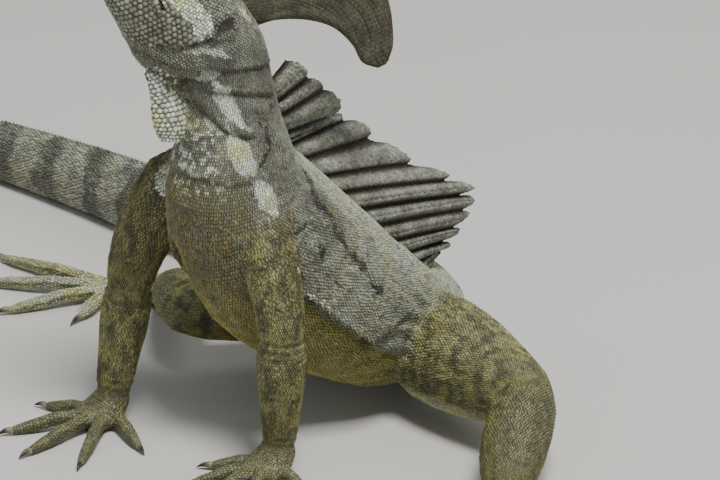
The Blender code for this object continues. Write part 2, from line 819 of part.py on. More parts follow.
def settle(pieces):
    """Parents every piece to one empty and moves it so that the origin is under the middle."""
    corners = np.concatenate([np.array([v.co for v in piece.data.vertices]) for piece in pieces])
    low, high = corners.min(axis=0), corners.max(axis=0)
    animal = bpy.data.objects.new("animal", None)
    animal.location = (-(low[0] + high[0]) / 2, -(low[1] + high[1]) / 2, -low[2])
    collection = bpy.data.collections.new("basilisk_lizard")
    bpy.context.scene.collection.children.link(collection)
    collection.objects.link(animal)
    for piece in pieces:
        for old in list(piece.users_collection):
            old.objects.unlink(piece)
        collection.objects.link(piece)
        piece.parent = animal
        piece.data.materials.clear()
        piece.data.materials.append(material_for(piece.name))
        piece.data.shade_smooth()
        piece.data.set_sharp_from_angle(angle=math.radians(40))
    bpy.context.view_layer.update()


for old in list(bpy.data.objects):
    bpy.data.objects.remove(old)
trunk()
head()
eyes()
casque()
back_crest()
dewlap()
for label in ("left", "right"):
    wrist = limb("fore", label, (("upper_arm", UPPER_ARM), ("forearm", FOREARM)), axial_cutter())
    paw("hand", label, HAND_PALM, HAND_DIGITS, wrist)
    ankle = limb("hind", label, (("thigh", THIGH), ("shank", SHANK)), axial_cutter())
    paw("foot", label, FOOT_SOLE, FOOT_DIGITS, ankle)
settle([piece for piece in bpy.data.objects if piece.type == "MESH"])
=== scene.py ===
"""A life-size male basilisk lizard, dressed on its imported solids: one folded hide, a coat of
scales that grows out of it, and the eyes, casque, crest, dewlap, claws and toe fringes."""

import math

import bmesh
import bpy
import numpy as np
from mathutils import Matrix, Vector
from mathutils.bvhtree import BVHTree
from mathutils.kdtree import KDTree


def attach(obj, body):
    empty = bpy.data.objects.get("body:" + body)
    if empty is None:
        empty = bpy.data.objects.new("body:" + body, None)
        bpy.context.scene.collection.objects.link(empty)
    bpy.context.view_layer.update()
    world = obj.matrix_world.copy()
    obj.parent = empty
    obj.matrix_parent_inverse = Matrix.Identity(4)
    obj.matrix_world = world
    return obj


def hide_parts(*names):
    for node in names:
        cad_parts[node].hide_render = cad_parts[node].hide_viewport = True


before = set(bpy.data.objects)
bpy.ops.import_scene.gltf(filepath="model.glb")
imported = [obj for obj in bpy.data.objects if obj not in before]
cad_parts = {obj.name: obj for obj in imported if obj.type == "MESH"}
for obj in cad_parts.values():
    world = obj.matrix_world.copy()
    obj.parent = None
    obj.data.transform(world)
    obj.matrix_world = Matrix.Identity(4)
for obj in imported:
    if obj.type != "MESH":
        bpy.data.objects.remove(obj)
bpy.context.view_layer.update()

# The room: a pale floor, broad soft lights, and the camera where the photo was taken from, off
# the animal's left front quarter and looking a little down on it.
# The floor point under the shoulders is where every later place is measured from.
shoulder_spot = np.array((0.110715, -0.006066, 0.0))
turned, raised = math.radians(38), math.radians(22)
camera_distance = 1.5
towards_camera = Vector((
    math.sin(turned) * math.cos(raised), -math.cos(turned) * math.cos(raised), math.sin(raised),
))
to_the_right = Vector((math.cos(turned), math.sin(turned), 0))
upwards = towards_camera.cross(to_the_right)
looked_at = Vector(shoulder_spot) + Vector((0, 0.020, 0.045)) + to_the_right * 0.0301 + upwards * 0.0184
camera = bpy.data.objects.new("camera", bpy.data.cameras.new("camera"))
camera.data.sensor_width = 36
camera.data.lens = 244.3
camera.data.clip_start, camera.data.clip_end = 0.05, 20
camera.location = looked_at + towards_camera * camera_distance
camera.rotation_mode = "QUATERNION"
camera.rotation_quaternion = towards_camera.to_track_quat("Z", "Y")
bpy.context.scene.collection.objects.link(camera)
bpy.context.scene.camera = camera


class Value:
    """A number, colour or vector that a material's node gives; sums on numbers add Math nodes."""

    def __init__(self, finish, socket):
        self.finish, self.socket = finish, socket

    def sum(self, operation, *terms):
        return self.finish.node("ShaderNodeMath", {"operation": operation}, dict(enumerate(terms)))

    def __add__(self, other):
        return self.sum("ADD", self, other)

    def __sub__(self, other):
        return self.sum("SUBTRACT", self, other)

    def __rsub__(self, other):
        return self.sum("SUBTRACT", other, self)

    def __mul__(self, other):
        return self.sum("MULTIPLY", self, other)

    __radd__, __rmul__ = __add__, __mul__


class Finish:
    """One material and the nodes that it is made of."""

    def __init__(self, name, roughness=0.6, **constants):
        self.material = bpy.data.materials.new(name)
        self.material.use_nodes = True
        self.tree = self.material.node_tree
        self.shader = self.tree.nodes["Principled BSDF"]
        self.set(Roughness=roughness, **constants)

    def node(self, kind, settings, sockets, out=0):
        made = self.tree.nodes.new(kind)
        stops = settings.pop("stops", None)
        for name, value in settings.items():
            setattr(made, name, value)
        if stops:
            ramp = made.color_ramp.elements
            while len(ramp) < len(stops):
                ramp.new(1)
            for element, (place, colour) in zip(ramp, stops):
                element.position, element.color = place, (*colour, 1)
        for name, value in sockets.items():
            self.plug(made.inputs[name], value)
        return Value(self, made.outputs[out])

    def plug(self, socket, value):
        if isinstance(value, Value):
            self.tree.links.new(value.socket, socket)
        elif isinstance(value, str):
            socket.default_value = (*paint(value), 1)
        else:
            socket.default_value = value

    def set(self, **sockets):
        for name, value in sockets.items():
            self.plug(self.shader.inputs[name.replace("_", " ")], value)

    def mix(self, share, first, second, way="MIX"):
        """Two colours mixed by a share from 0 to 1."""
        settings = {"data_type": "RGBA", "blend_type": way, "clamp_factor": True}
        return self.node("ShaderNodeMix", settings, {0: share, 6: first, 7: second}, 2)

    def between(self, value, low, high, first, second, most=1):
        """Two colours that follow a number from low to high, the second up to a share of most."""
        return self.mix(self.ramp(value, (low, 0), (high, most)), first, second)

    def noise(self, size, detail=3.0):
        """Clouds with that many metres between their middles, from 0 to 1."""
        place = self.node("ShaderNodeTexCoord", {}, {}, 3)
        roughness = 0.55
        return self.node("ShaderNodeTexNoise", {}, {0: place, 2: 1 / size, 3: detail, 4: roughness})

    def ramp(self, value, *stops):
        """A number read through straight steps of (place, number)."""
        grey = [(place, (number,) * 3) for place, number in stops]
        return self.node("ShaderNodeValToRGB", {"stops": grey}, {0: value})

    def painted(self, name):
        """The three masks that a mesh carries under one name."""
        colour = self.node("ShaderNodeAttribute", {"attribute_name": name}, {})
        parts = self.node("ShaderNodeSeparateColor", {}, {0: colour}).socket.node
        return [Value(self, parts.outputs[k]) for k in range(3)]

    def shaded(self, colour, shade):
        """The colour of the surface, made lighter or darker by a number."""
        grey = self.node("ShaderNodeCombineColor", {}, {0: shade, 1: shade, 2: shade})
        self.set(Base_Color=self.mix(1.0, colour, grey, "MULTIPLY"))

    def bump(self, height, strength, distance):
        sockets = {"Strength": strength, "Distance": distance, "Height": height}
        self.set(Normal=self.node("ShaderNodeBump", {}, sockets))


def paint(code):
    """A screen colour such as 8a8c6a as linear red, green, blue."""
    screen = [int(code[k : k + 2], 16) / 255 for k in (0, 2, 4)]
    return tuple(c / 12.92 if c < 0.04045 else ((c + 0.055) / 1.055) ** 2.4 for c in screen)


floor_paint = Finish("floor_paint", roughness=0.85)
floor_paint.set(Base_Color=floor_paint.mix(floor_paint.noise(0.2), "c6c3bc", "cbc9c3"))
floor_mesh = bpy.data.meshes.new("floor")
reach = 6
corners = [(-reach, -reach, 0), (reach, -reach, 0), (reach, reach, 0), (-reach, reach, 0)]
floor_mesh.from_pydata(corners, [], [(0, 1, 2, 3)])
floor_mesh.materials.append(floor_paint.material)
floor = bpy.data.objects.new("floor", floor_mesh)
bpy.context.scene.collection.objects.link(floor)
for name, place, size, power in (
    ("key_light", (0.75, -0.35, 1.6), 0.5, 36),
    ("fill_light", (-1.3, -1.4, 1.0), 1.6, 6),
    ("back_light", (0.2, 1.6, 1.3), 1.2, 9),
):
    light = bpy.data.objects.new(name, bpy.data.lights.new(name, "AREA"))
    light.data.size, light.data.energy = size, power
    light.location = place
    light.rotation_mode = "QUATERNION"
    light.rotation_quaternion = (Vector(place) - Vector((0.1, 0, 0.05))).to_track_quat("Z", "Y")
    bpy.context.scene.collection.objects.link(light)
room = bpy.data.worlds.new("room")
room.use_nodes = True
room.node_tree.nodes["Background"].inputs[0].default_value = (0.86, 0.93, 1.0, 1)
room.node_tree.nodes["Background"].inputs[1].default_value = 0.3
bpy.context.scene.world = room

# The hide: one skin over head, neck, trunk, dewlap, tail and all four legs, as on the living
# animal. It is the flesh of the solids melted into one surface, then folded where loose skin
# hangs: at the throat, down the flanks and round the groin.
turn_of_head = 27
# Places are millimetres from the shoulder spot. A row of the body is the middle of a section,
# its half width, height above, depth below, squareness above and below, and its turn.
body_rows = (
    (-312, -128, 0.8, 0.6, 0.7, 0.9, 2.0, 2.0, None),
    (-334, -80, 1.8, 1.6, 2.0, 1.9, 1.9, 2.0, None),
    (-349, -28, 2.9, 2.6, 3.2, 3.0, 1.9, 2.0, None),
    (-347, 27, 4.2, 3.7, 4.7, 4.3, 1.8, 2.1, None),
    (-325, 79, 6.0, 4.9, 6.6, 6.1, 1.8, 2.1, None),
    (-280, 117, 8.1, 6.1, 8.8, 8.2, 1.7, 2.2, None),
    (-224, 132, 10.2, 7.3, 10.8, 10.3, 1.7, 2.2, None),
    (-169, 129, 12.0, 8.6, 12.4, 12.1, 1.6, 2.2, None),
    (-115, 121, 13.4, 9.8, 13.8, 13.5, 1.6, 2.3, None),
    (-62, 117, 14.6, 10.9, 14.6, 14.7, 1.7, 2.3, None),
    (-20, 111, 15.6, 12.2, 15.0, 15.3, 1.8, 2.2, None),
    (4, 96, 17.4, 14.0, 15.8, 15.7, 1.9, 2.2, -36),
    (12, 79, 21.5, 16.5, 17.5, 18.4, 1.8, 2.1, -24),
    (12, 61, 32.5, 22.0, 20.5, 26.0, 1.7, 2.1, -12),
    (7.4, 43, 47.5, 26.0, 23.5, 31.0, 1.6, 2.1, -3),
    (2, 26, 64.5, 27.0, 24.5, 33.0, 1.6, 2.1, -4),
    (-1, 12, 83.0, 23.0, 22.5, 27.0, 1.7, 2.1, -8),
    (-1, 8, 101.0, 16.6, 18.0, 19.0, 1.8, 2.1, 4),
    (-2.2, 7.2, 116.0, 13.8, 14.6, 15.6, 1.9, 2.1, 17),
    (-4, 4.2, 130.4, 14.6, 14.5, 16.6, 2.1, 2.0, turn_of_head),
)
# The head continues from the nape along its own line: ahead, then the same sizes.
head_rows = (
    (13, 16.6, 15.0, 21.0, 2.3, 1.8),
    (21, 16.2, 14.8, 20.0, 2.5, 1.8),
    (28, 14.8, 14.4, 18.8, 2.7, 1.9),
    (37, 11.6, 12.2, 17.4, 2.8, 2.0),
    (46, 8.8, 8.8, 13.4, 2.6, 2.2),
    (54, 6.4, 6.0, 7.6, 2.4, 2.4),
    (58, 3.4, 3.2, 4.2, 2.2, 2.2),
)
side_turn, head_pitch = math.radians(turn_of_head), math.radians(55)
head_left = np.array((math.cos(side_turn), -math.sin(side_turn), 0))
head_ahead = np.array((
    -math.sin(side_turn) * math.cos(head_pitch),
    -math.cos(side_turn) * math.cos(head_pitch),
    math.sin(head_pitch),
))
head_up = np.cross(head_ahead, head_left)
nape = np.array(body_rows[-1][:3])


def in_head(ahead, up, side=0.0):
    """A place given from the nape in the head's own directions."""
    ahead, up, side = (np.asarray(v, float)[..., None] for v in (ahead, up, side))
    return nape + head_ahead * ahead + head_up * up + head_left * side


def unit(v):
    return v / np.maximum(np.linalg.norm(v, axis=-1, keepdims=True), 1e-12)


def smooth(low, high, x):
    """0 below low, 1 above high, and a soft rise between."""
    t = np.clip((np.asarray(x, float) - low) / (high - low), 0, 1)
    return t * t * (3 - 2 * t)


def hump(x, middle, width):
    """1 at the middle, and a soft fall to 0 within about two widths of it."""
    return np.exp(-(((x - middle) / width) ** 2))


def along(rows, s):
    """Smoothly joined values of the rows at places s, counted in rows."""
    rows, s = np.asarray(rows, float), np.asarray(s, float)
    i = np.clip(np.floor(s).astype(int), 0, len(rows) - 2)
    f = (s - i)[..., None]
    ends = np.vstack((2 * rows[0] - rows[1], rows, 2 * rows[-1] - rows[-2]))
    a, b, c, d = (ends[i + k] for k in range(4))
    return 0.5 * (2 * b + (c - a) * f + (2 * a - 5 * b + 4 * c - d) * f**2 + (3 * b - a - 3 * c + d) * f**3)


def body_line():
    """Sections of the whole body: middle, left side, and the five sizes."""
    middles = np.array([row[:3] for row in body_rows], float)
    rows = []
    for i, row in enumerate(body_rows):
        if row[8] is None:
            left = unit(np.cross((0, 0, 1), middles[i + 1] - middles[max(i - 1, 0)]))
        else:
            left = (math.cos(math.radians(row[8])), -math.sin(math.radians(row[8])), 0)
        rows.append((*row[:3], *left, *row[3:8]))
    rows += [(*in_head(row[0], 0), *head_left, *row[1:]) for row in head_rows]
    return np.array(rows)


body = body_line()
snout = len(body) - 1


def sections(rows, s):
    """Middle, forward, left, up and sizes of the sections at places s."""
    row = along(rows, s)
    forward = unit(along(rows, s + 0.02)[..., :3] - along(rows, s - 0.02)[..., :3])
    left = row[..., 3:6]
    left = unit(left - forward * (left * forward).sum(-1, keepdims=True))
    return row[..., :3], forward, left, np.cross(forward, left), row[..., 6:]


def shell(rows, s, angle):
    """Places on the outline of the sections. Angle 0 is the left side, and 90 degrees the top."""
    middle, _, left, up, size = sections(rows, s)
    c, n = np.cos(angle), np.sin(angle)
    power = 2 / np.where(n > 0, size[..., 3], size[..., 4])
    x = np.sign(c) * np.abs(c) ** power * size[..., 0]
    y = np.sign(n) * np.abs(n) ** power * np.where(n > 0, size[..., 1], size[..., 2])
    return middle + left * x[..., None] + up * y[..., None]


def to_room(points):
    return np.asarray(points) * 0.001 + shoulder_spot


def make_mesh(name, points, triangles, finish):
    """An object from places in millimetres and triangles, that nowhere dips into the floor."""
    mesh = bpy.data.meshes.new(name)
    points, triangles = to_room(points), np.asarray(triangles, np.int32)
    lowest = 0.00005
    points[:, 2] = np.maximum(points[:, 2], lowest)
    mesh.vertices.add(len(points))
    mesh.vertices.foreach_set("co", points.astype(np.float32).ravel())
    mesh.loops.add(triangles.size)
    mesh.loops.foreach_set("vertex_index", triangles.ravel())
    mesh.polygons.add(len(triangles))
    mesh.polygons.foreach_set("loop_start", np.arange(0, triangles.size, 3, dtype=np.int32))
    mesh.update(calc_edges=True)
    mesh.shade_smooth()
    mesh.materials.append(finish.material)
    made = bpy.data.objects.new(name, mesh)
    bpy.context.scene.collection.objects.link(made)
    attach(made, "root")
    return made


def carry(made, name, masks):
    """Stores three masks on the points of a mesh."""
    colours = np.ones((len(made.data.vertices), 4), np.float32)
    colours[:, :3] = masks
    layer = made.data.attributes.new(name, "FLOAT_COLOR", "POINT")
    layer.data.foreach_set("color", colours.ravel())


flesh = sorted(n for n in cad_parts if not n.startswith(("eye", "claw", "casque", "back_crest")))
# The solids are swelled so that their seams bridge, and the skin is then drawn in to lie
# inside them by the coat's depth.
bridged = 0.30
coat_depth = 0.25
finest = 0.00068
points, faces, owners = [], [], []
for index, name in enumerate(flesh):
    bm = bmesh.new()
    bm.from_mesh(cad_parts[name].data)
    bmesh.ops.remove_doubles(bm, verts=bm.verts, dist=1e-6)
    bm.normal_update()
    faces += [[v.index + len(points) for v in face.verts] for face in bm.faces]
    owners += [index] * len(bm.faces)
    points += [v.co + v.normal * bridged * 0.001 for v in bm.verts]
    bm.free()
solids = BVHTree.FromPolygons(points, faces)
rough_hide = bpy.data.meshes.new("rough_hide")
rough_hide.from_pydata(points, [], faces)
melting = bpy.data.objects.new("rough_hide", rough_hide)
bpy.context.scene.collection.objects.link(melting)
remesh = melting.modifiers.new("melt", "REMESH")
remesh.mode, remesh.voxel_size = "VOXEL", finest
melted = bpy.data.meshes.new_from_object(melting.evaluated_get(bpy.context.evaluated_depsgraph_get()))
bpy.data.objects.remove(melting)
bm = bmesh.new()
bm.from_mesh(melted)
bmesh.ops.triangulate(bm, faces=bm.faces)
bm.to_mesh(melted)
bm.free()


def read(items, what, count, wide, kind):
    """That many numbers that a mesh's items say of themselves, as rows of that width."""
    values = np.empty(count, kind)
    items.foreach_get(what, values)
    return values.reshape(-1, wide)


hide_points = read(melted.vertices, "co", len(melted.vertices) * 3, 3, np.float32).astype(float)
hide_points = (hide_points - shoulder_spot) * 1000
hide_faces = read(melted.loops, "vertex_index", len(melted.loops), 3, np.int32)
edges = read(melted.edges, "vertices", len(melted.edges) * 2, 2, np.int32)


def relaxed(values, rounds, strength=0.5, keep_size=True):
    """Values on the hide's points, each drawn towards its neighbours without shrinking."""
    count = np.bincount(edges.ravel(), minlength=len(values))[:, None]
    for k in range(rounds * 2 if keep_size else rounds):
        total = np.stack([
            np.bincount(edges[:, 0], values[edges[:, 1], c], len(values))
            + np.bincount(edges[:, 1], values[edges[:, 0], c], len(values))
            for c in range(values.shape[1])
        ], 1)
        share = strength if k % 2 == 0 or not keep_size else -strength * 1.06
        values = values + share * (total / count - values)
    return values


def normals_of(points, faces):
    a, b, c = (points[faces[:, k]] for k in range(3))
    flat = np.cross(b - a, c - a)
    total = np.stack([
        sum(np.bincount(faces[:, k], flat[:, c], len(points)) for k in range(3)) for c in range(3)
    ], 1)
    return unit(total)


smoothing_rounds = 7
hide_points = relaxed(hide_points, smoothing_rounds)
hide_points -= normals_of(hide_points, hide_faces) * (bridged + coat_depth)
owner = np.array([
    owners[solids.find_nearest(Vector(p))[2]] for p in to_room(hide_points)
])
axial = ("head", "neck", "torso", "dewlap", "tail_1", "tail_2", "tail_3", "tail_4", "tail_5")
axial_owner = np.isin(owner, [flesh.index(n) for n in axial])
stops = np.arange(0, snout, 0.02)
stop_middle, _, stop_left, stop_up, _ = sections(body, stops)
middles = KDTree(len(stops))
for k, middle in enumerate(stop_middle):
    middles.insert(middle, k)
middles.balance()


def measured(points):
    """The nearest stop on the body's middle line, its section, and the angle round it, of places."""
    nearest = np.array([middles.find(p)[1] for p in points])
    outwards = points - stop_middle[nearest]
    upwards, leftwards = ((outwards * way[nearest]).sum(1) for way in (stop_up, stop_left))
    return nearest, stops[nearest], np.degrees(np.arctan2(upwards, leftwards))


nearest, hide_s, hide_angle = measured(hide_points)
surface = BVHTree.FromPolygons([tuple(p) for p in hide_points], hide_faces.tolist())


def on_hide(s, degrees):
    """The places of the hide nearest to those of the body's outline."""
    wanted = shell(body, np.asarray(s, float), np.radians(np.asarray(degrees, float)))
    return np.array([surface.find_nearest(Vector(p))[0] for p in wanted])


def drawn(line, steps=8):
    """A smooth line over the hide through places given as (s, degrees)."""
    line = np.array(line, float)
    t = np.linspace(0, len(line) - 1, (len(line) - 1) * steps + 1)
    return on_hide(*along(line, t).T)


def mirrored(line):
    return [(s, 180 - a) for s, a in line]


def fold(line, lift, sink, wide_above, wide_below, edge=0.5, hang=0):
    """Raises the hide on the upper side of a line, sinks it below and lets its edge hang over."""
    path = drawn(line)
    way = unit(np.gradient(path, axis=0))
    radius = 3 * max(wide_above, wide_below)
    span = radius + np.ptp(path, axis=0).max()
    near = np.flatnonzero(axial_owner & (np.abs(hide_points - path.mean(0)).max(1) < span))
    gaps = np.linalg.norm(hide_points[near, None] - path[None], axis=2)
    j = gaps.argmin(1)
    close = gaps[np.arange(len(j)), j] < radius
    near, j = near[close], j[close]
    upper = unit(np.cross(way[j], hide_normals[near]))
    upper *= np.sign((upper * (stop_up[nearest[near]] + 1e-6)).sum(1, keepdims=True))
    across = hide_points[near] - path[j]
    d = (across * upper).sum(1)
    run = (across * way[j]).sum(1)
    end = np.minimum(j, len(path) - 1 - j) / (len(path) - 1) * 2
    fade = smooth(0, 0.25, end) * np.exp(-((np.abs(run) / 2.5) ** 4))
    above = 0.5 * (1 + np.tanh(d / edge))
    rise = lift * above * np.exp(-np.maximum(d, 0) / wide_above)
    rise -= sink * (1 - above) * np.exp(-np.maximum(-d, 0) / wide_below)
    hide_lift[near] += rise * fade
    hide_shift[near] -= upper * (hang * above * np.exp(-np.maximum(d, 0) / 1.5) * fade)[:, None]


hide_normals = normals_of(hide_points, hide_faces)
hide_lift = np.zeros(len(hide_points))
hide_shift = np.zeros(hide_points.shape)
jaw_fold = [(21.2, -50), (20.54, -37), (20.18, -24), (20.04, -9), (19.8, 6)]
nape_fold = [(20.3, -52), (19.96, -46), (19.12, -21), (18.82, 3), (18.56, 43), (18.45, 64)]
neck_fold = [
    (21.2, -84), (20.94, -70), (20.42, -57), (19.4, -51), (18.62, -40), (18.5, -31), (18.2, 6), (17.96, 37),
    (17.9, 52),
]
throat_fold = [(19.7, -82), (18.9, -80), (18.46, -75), (18.18, -58), (17.62, -42), (17.42, -24), (17.28, -8)]
low_neck_fold = [(17.9, -6), (17.64, 8), (17.30, 13), (16.88, 13), (16.5, 4)]
flank_edge = [
    (16.1, -50), (15.68, -42), (15.24, -37), (14.82, -31), (14.36, -30), (14.0, -30), (13.7, -31),
    (13.58, -32),
]
flank_pleat = [(13.78, -37), (13.7, -31), (13.56, -23), (13.44, -13), (13.3, 0)]
back_line = [
    (16.5, 36), (16.22, 29), (15.9, 21), (15.68, 13), (15.42, 13), (15.18, 7), (14.88, 3), (14.6, 2),
    (14.34, -1), (14.08, -4), (13.82, -5),
]
shoulder_valley = [(16.95, 34), (16.62, 23), (16.36, -10), (16.08, -21), (15.92, -30)]
shoulder_fold = [(16.0, -34), (15.88, -28), (15.7, -10), (15.72, 2)]
chest_fold = [(16.70, -24), (16.70, -50), (16.80, -80), (16.88, -110)]
for line, *sizes in (
    (jaw_fold, 0.6, 1.0, 2.5, 2.0, 0.45),
    (nape_fold, 0.9, 1.5, 3.5, 2.2, 0.4, 0.5),
    (neck_fold, 0.9, 1.4, 3.0, 2.2, 0.4, 0.5),
    (throat_fold, 1.1, 1.6, 3.0, 3.0, 0.4, 0.6),
    (low_neck_fold, 0.5, 0.8, 2.5, 2.5, 0.5),
    (flank_edge, 1.6, 2.6, 7.0, 6.0, 0.35, 1.3),
    (back_line, 0.6, 0.8, 4.0, 3.0, 0.6),
    (shoulder_valley, 0.4, 1.0, 3.0, 3.0, 0.7),
    (shoulder_fold, 0.8, 1.0, 3.0, 2.5, 0.45),
    (chest_fold, 0.6, 0.8, 4.0, 3.0, 0.6),
    (flank_pleat, 1.0, 1.8, 4.0, 2.5, 0.35, 0.8),
):
    fold(line, *sizes)
    fold(mirrored(line), *sizes)
# The breast has a shallow furrow between its two muscles.
furrow = drawn([(16.6, -97), (16.34, -99), (16.18, -99), (15.9, -98), (15.5, -96)])
gap_to_furrow = np.linalg.norm(hide_points[:, None] - furrow[None, ::4], axis=2).min(1)
hide_lift -= 1.1 * hump(gap_to_furrow, 0, 2.2) * axial_owner
# Skin gathers in fine pleats round the thighs' roots, and in creases at elbows and wrists.
for hip, sign in (((27, 70, 24), 1), ((-14, 72, 24), -1)):
    arm = hide_points - hip
    reach = np.linalg.norm(arm, axis=1)
    fan = np.degrees(np.arctan2(arm[:, 2] + 6, -arm[:, 1]))
    zone = smooth(15, 19, reach) * (1 - smooth(27, 42, reach)) * (owner == flesh.index("torso"))
    zone = zone * (sign * arm[:, 0] > -14)
    wander = 0.5 * np.sin(reach * 0.35 + 0.08 * fan)
    hide_lift += zone * 0.5 * np.sin(np.radians(fan) * 27 + 0.12 * reach + wander)
# The mouth is a closed slit with puckered corners; nostrils and ears are sunk.
mouth = ((28.4, -8.0), (29.6, -6.9), (33, -5.8), (38, -5.2), (44, -4.4), (51, -3.0), (56, -1.9))
nostril_spot, eye_spot, ear_spot = (52.5, 2.6), (34, 3.4), (11.5, 4.2)


def head_side(ahead, up):
    """How far the head's side is from its middle plane at a place ahead of the nape."""
    table = np.array([body_rows[-1][3:8]] + [row[1:] for row in head_rows], float)
    places = [0] + [row[0] for row in head_rows]
    width, above, below, top, bottom = (np.interp(ahead, places, table[:, k]) for k in range(5))
    high, power = np.where(up > 0, above, below), np.where(up > 0, top, bottom)
    return width * np.maximum(0, 1 - np.abs(up / high) ** power) ** (1 / power)


def cheek(ahead, up, sign, out=0):
    """A place on the head's left side, sign 1, or its right side, sign -1, or so far out of it."""
    return in_head(ahead, up, sign * (head_side(ahead, up) + out))


on_head = np.flatnonzero(axial_owner & (hide_s > 19))
mouth_line = along(mouth, np.linspace(0, len(mouth) - 1, 90))
snout_end = in_head(np.full(21, 58.8), np.full(21, -1.5), np.linspace(-3, 3, 21))
slit = np.concatenate([cheek(*mouth_line.T, sign) for sign in (1, -1)] + [snout_end])
mouth_gap = np.full(len(hide_points), 99.0)
mouth_gap[on_head] = np.linalg.norm(hide_points[on_head, None] - slit[None, ::2], axis=2).min(1)
hide_lift -= 1.2 * hump(mouth_gap, 0, 0.6) - 0.25 * hump(mouth_gap, 1.8, 1.0)
dish_gap = np.full(len(hide_points), 9.0)
for spot, wide, tall, depth in ((nostril_spot, 1.25, 0.95, 1.5), (ear_spot, 2.8, 3.6, 1.3)):
    for sign in (1, -1):
        arm = hide_points - cheek(*spot, sign)
        gap = np.hypot(arm @ head_ahead / wide, arm @ head_up / tall) + np.abs(arm @ head_left) / 6
        hide_lift -= depth * (1 - smooth(0.75, 1.15, gap)) - 0.3 * hump(gap, 1.35, 0.2)
        dish_gap = np.minimum(dish_gap, gap)
front = np.isin(owner, [k for k, n in enumerate(flesh) if n.startswith(("upper_arm", "forearm"))])
for height, strong, wide in ((43, 0.3, 5), (12, 0.22, 4)):
    band = hump(hide_points[:, 2], height, wide) * front
    hide_lift += band * strong * np.sin(hide_points[:, 2] * 2.3 + 0.25 * hide_points[:, 0])
# Ribs and long muscles show faintly through the flanks.
ribbed = smooth(13.6, 14.4, hide_s) * (1 - smooth(15.6, 16.2, hide_s)) * (owner == flesh.index("torso"))
ribbed = ribbed * hump(hide_angle, 0, 45)
hide_lift += 0.22 * ribbed * np.sin(hide_s * 17 + np.radians(hide_angle) * 2.0)
hide_points += hide_normals * relaxed(hide_lift[:, None], 1, keep_size=False) + hide_shift
hide_normals = normals_of(hide_points, hide_faces)
surface = BVHTree.FromPolygons([tuple(p) for p in hide_points], hide_faces.tolist())

random = np.random.default_rng(11)
waves = {}


def clouds(points, size, seed):
    """A smooth field, about 0 with a spread of 1, that varies over that many millimetres."""
    if seed not in waves:
        draw = np.random.default_rng(seed)
        ways = unit(draw.normal(size=(14, 3))) * draw.uniform(0.7, 1.4, (14, 1))
        waves[seed] = ways, draw.uniform(0, 6.28, 14)
    way, phase = waves[seed]
    return np.cos(points @ way.T * (2.9 / size) + phase).sum(1) / math.sqrt(7)


# Pale patches of the broken stripe from the jaw to the shoulder, then the pale rim of the flank's
# fold, as tapered strokes of (section, degrees, half width). The dark and ochre marks are the same.
pale_strokes = (
    ((25.0, -8, 0.7), (24.0, -12, 1.2), (23.2, -12, 1.5), (22.6, -9, 2.0), (21.96, -6, 2.6),
     (21.5, -3, 3.1), (20.94, -2, 3.2), (20.42, -5, 2.8), (20.2, -11, 1.3)),
    ((20.15, -30, 0.2), (19.94, -22, 0.9), (19.72, -13, 1.2), (19.42, -6, 0.9), (19.2, 0, 0.2)),
    ((19.1, -44, 0.2), (19.05, -35, 1.1), (18.98, -25, 1.3), (18.9, -18, 0.3)),
    ((18.7, -31, 0.9), (18.46, -28, 2.3), (18.2, -27, 2.6), (17.92, -26, 2.1), (17.66, -22, 1.2),
     (17.48, -16, 0.6)),
    ((17.52, -36, 0.9), (17.22, -32, 2.9), (17.0, -29, 3.4), (16.88, -28, 1.6)),
    ((16.66, -26, 1.2), (16.48, -24, 3.0), (16.32, -23, 2.8), (16.2, -23, 1.2)),
    ((17.52, -62, 0.2), (17.46, -54, 0.7), (17.52, -43, 0.2)),
    ((19.95, 50, 0.3), (19.5, 52, 0.8), (19.2, 56, 0.3)),
    ((15.6, -39, 0.2), (15.24, -35.6, 0.5), (14.82, -29.6, 0.6), (14.36, -28.6, 0.7), (14.0, -28.6, 0.7),
     (13.72, -29.6, 0.6)),
)
dark_strokes = (
    ((17.8, 30, 0.4), (17.68, 28, 0.9), (17.6, 27, 0.4)),
    ((17.6, -1, 0.3), (17.5, 1, 0.8), (17.32, 8, 1.1), (17.06, 0, 0.9), (16.92, -14, 0.4)),
    ((16.3, 30, 0.3), (16.22, 29, 0.7), (15.9, 21, 0.8), (15.68, 13, 1.5), (15.42, 14, 0.7),
     (15.18, 7, 0.6)),
    ((15.1, 6, 0.3), (14.88, 3, 0.5), (14.6, 2, 1.4), (14.34, -1, 0.5)),
    ((14.2, -3, 0.3), (14.08, -4, 1.2), (13.95, -5, 0.3)),
    ((15.34, -10, 0.5), (15.26, -11, 1.3), (15.18, -13, 0.5)),
    ((15.64, -38, 0.4), (15.58, -38, 0.8)),
    ((14.76, -14, 0.4), (14.68, -16, 0.5)),
    ((14.92, 41, 0.6), (14.8, 43, 0.5)),
    ((13.7, 64, 0.6), (13.56, 66, 0.7)),
    ((14.4, 32, 0.5), (14.28, 34, 0.4)),
    # Painted shade: this stroke and the next are dark lines down the creases of the shoulder's and the jaw's
    # folds.
    ((15.95, -30, 0.3), (15.8, -20, 0.5), (15.7, -10, 0.5), (15.74, -3, 0.2)),
    ((20.24, -30, 0.4), (20.1, -22, 0.8), (20.04, -9, 0.8), (19.8, 6, 0.4)),
)
ochre_strokes = (
    ((20.5, -61, 0.4), (19.16, -67, 0.8), (18.42, -64, 1.1), (18.22, -56, 1.0), (17.9, -49, 0.4)),
    ((16.3, 24, 0.4), (15.6, 21, 0.6), (15.25, 18, 1.1), (14.9, 11, 1.0), (14.5, 7, 0.5)),
    ((16.3, -6, 0.6), (16.1, -14, 1.0), (15.9, -20, 0.8)),
)


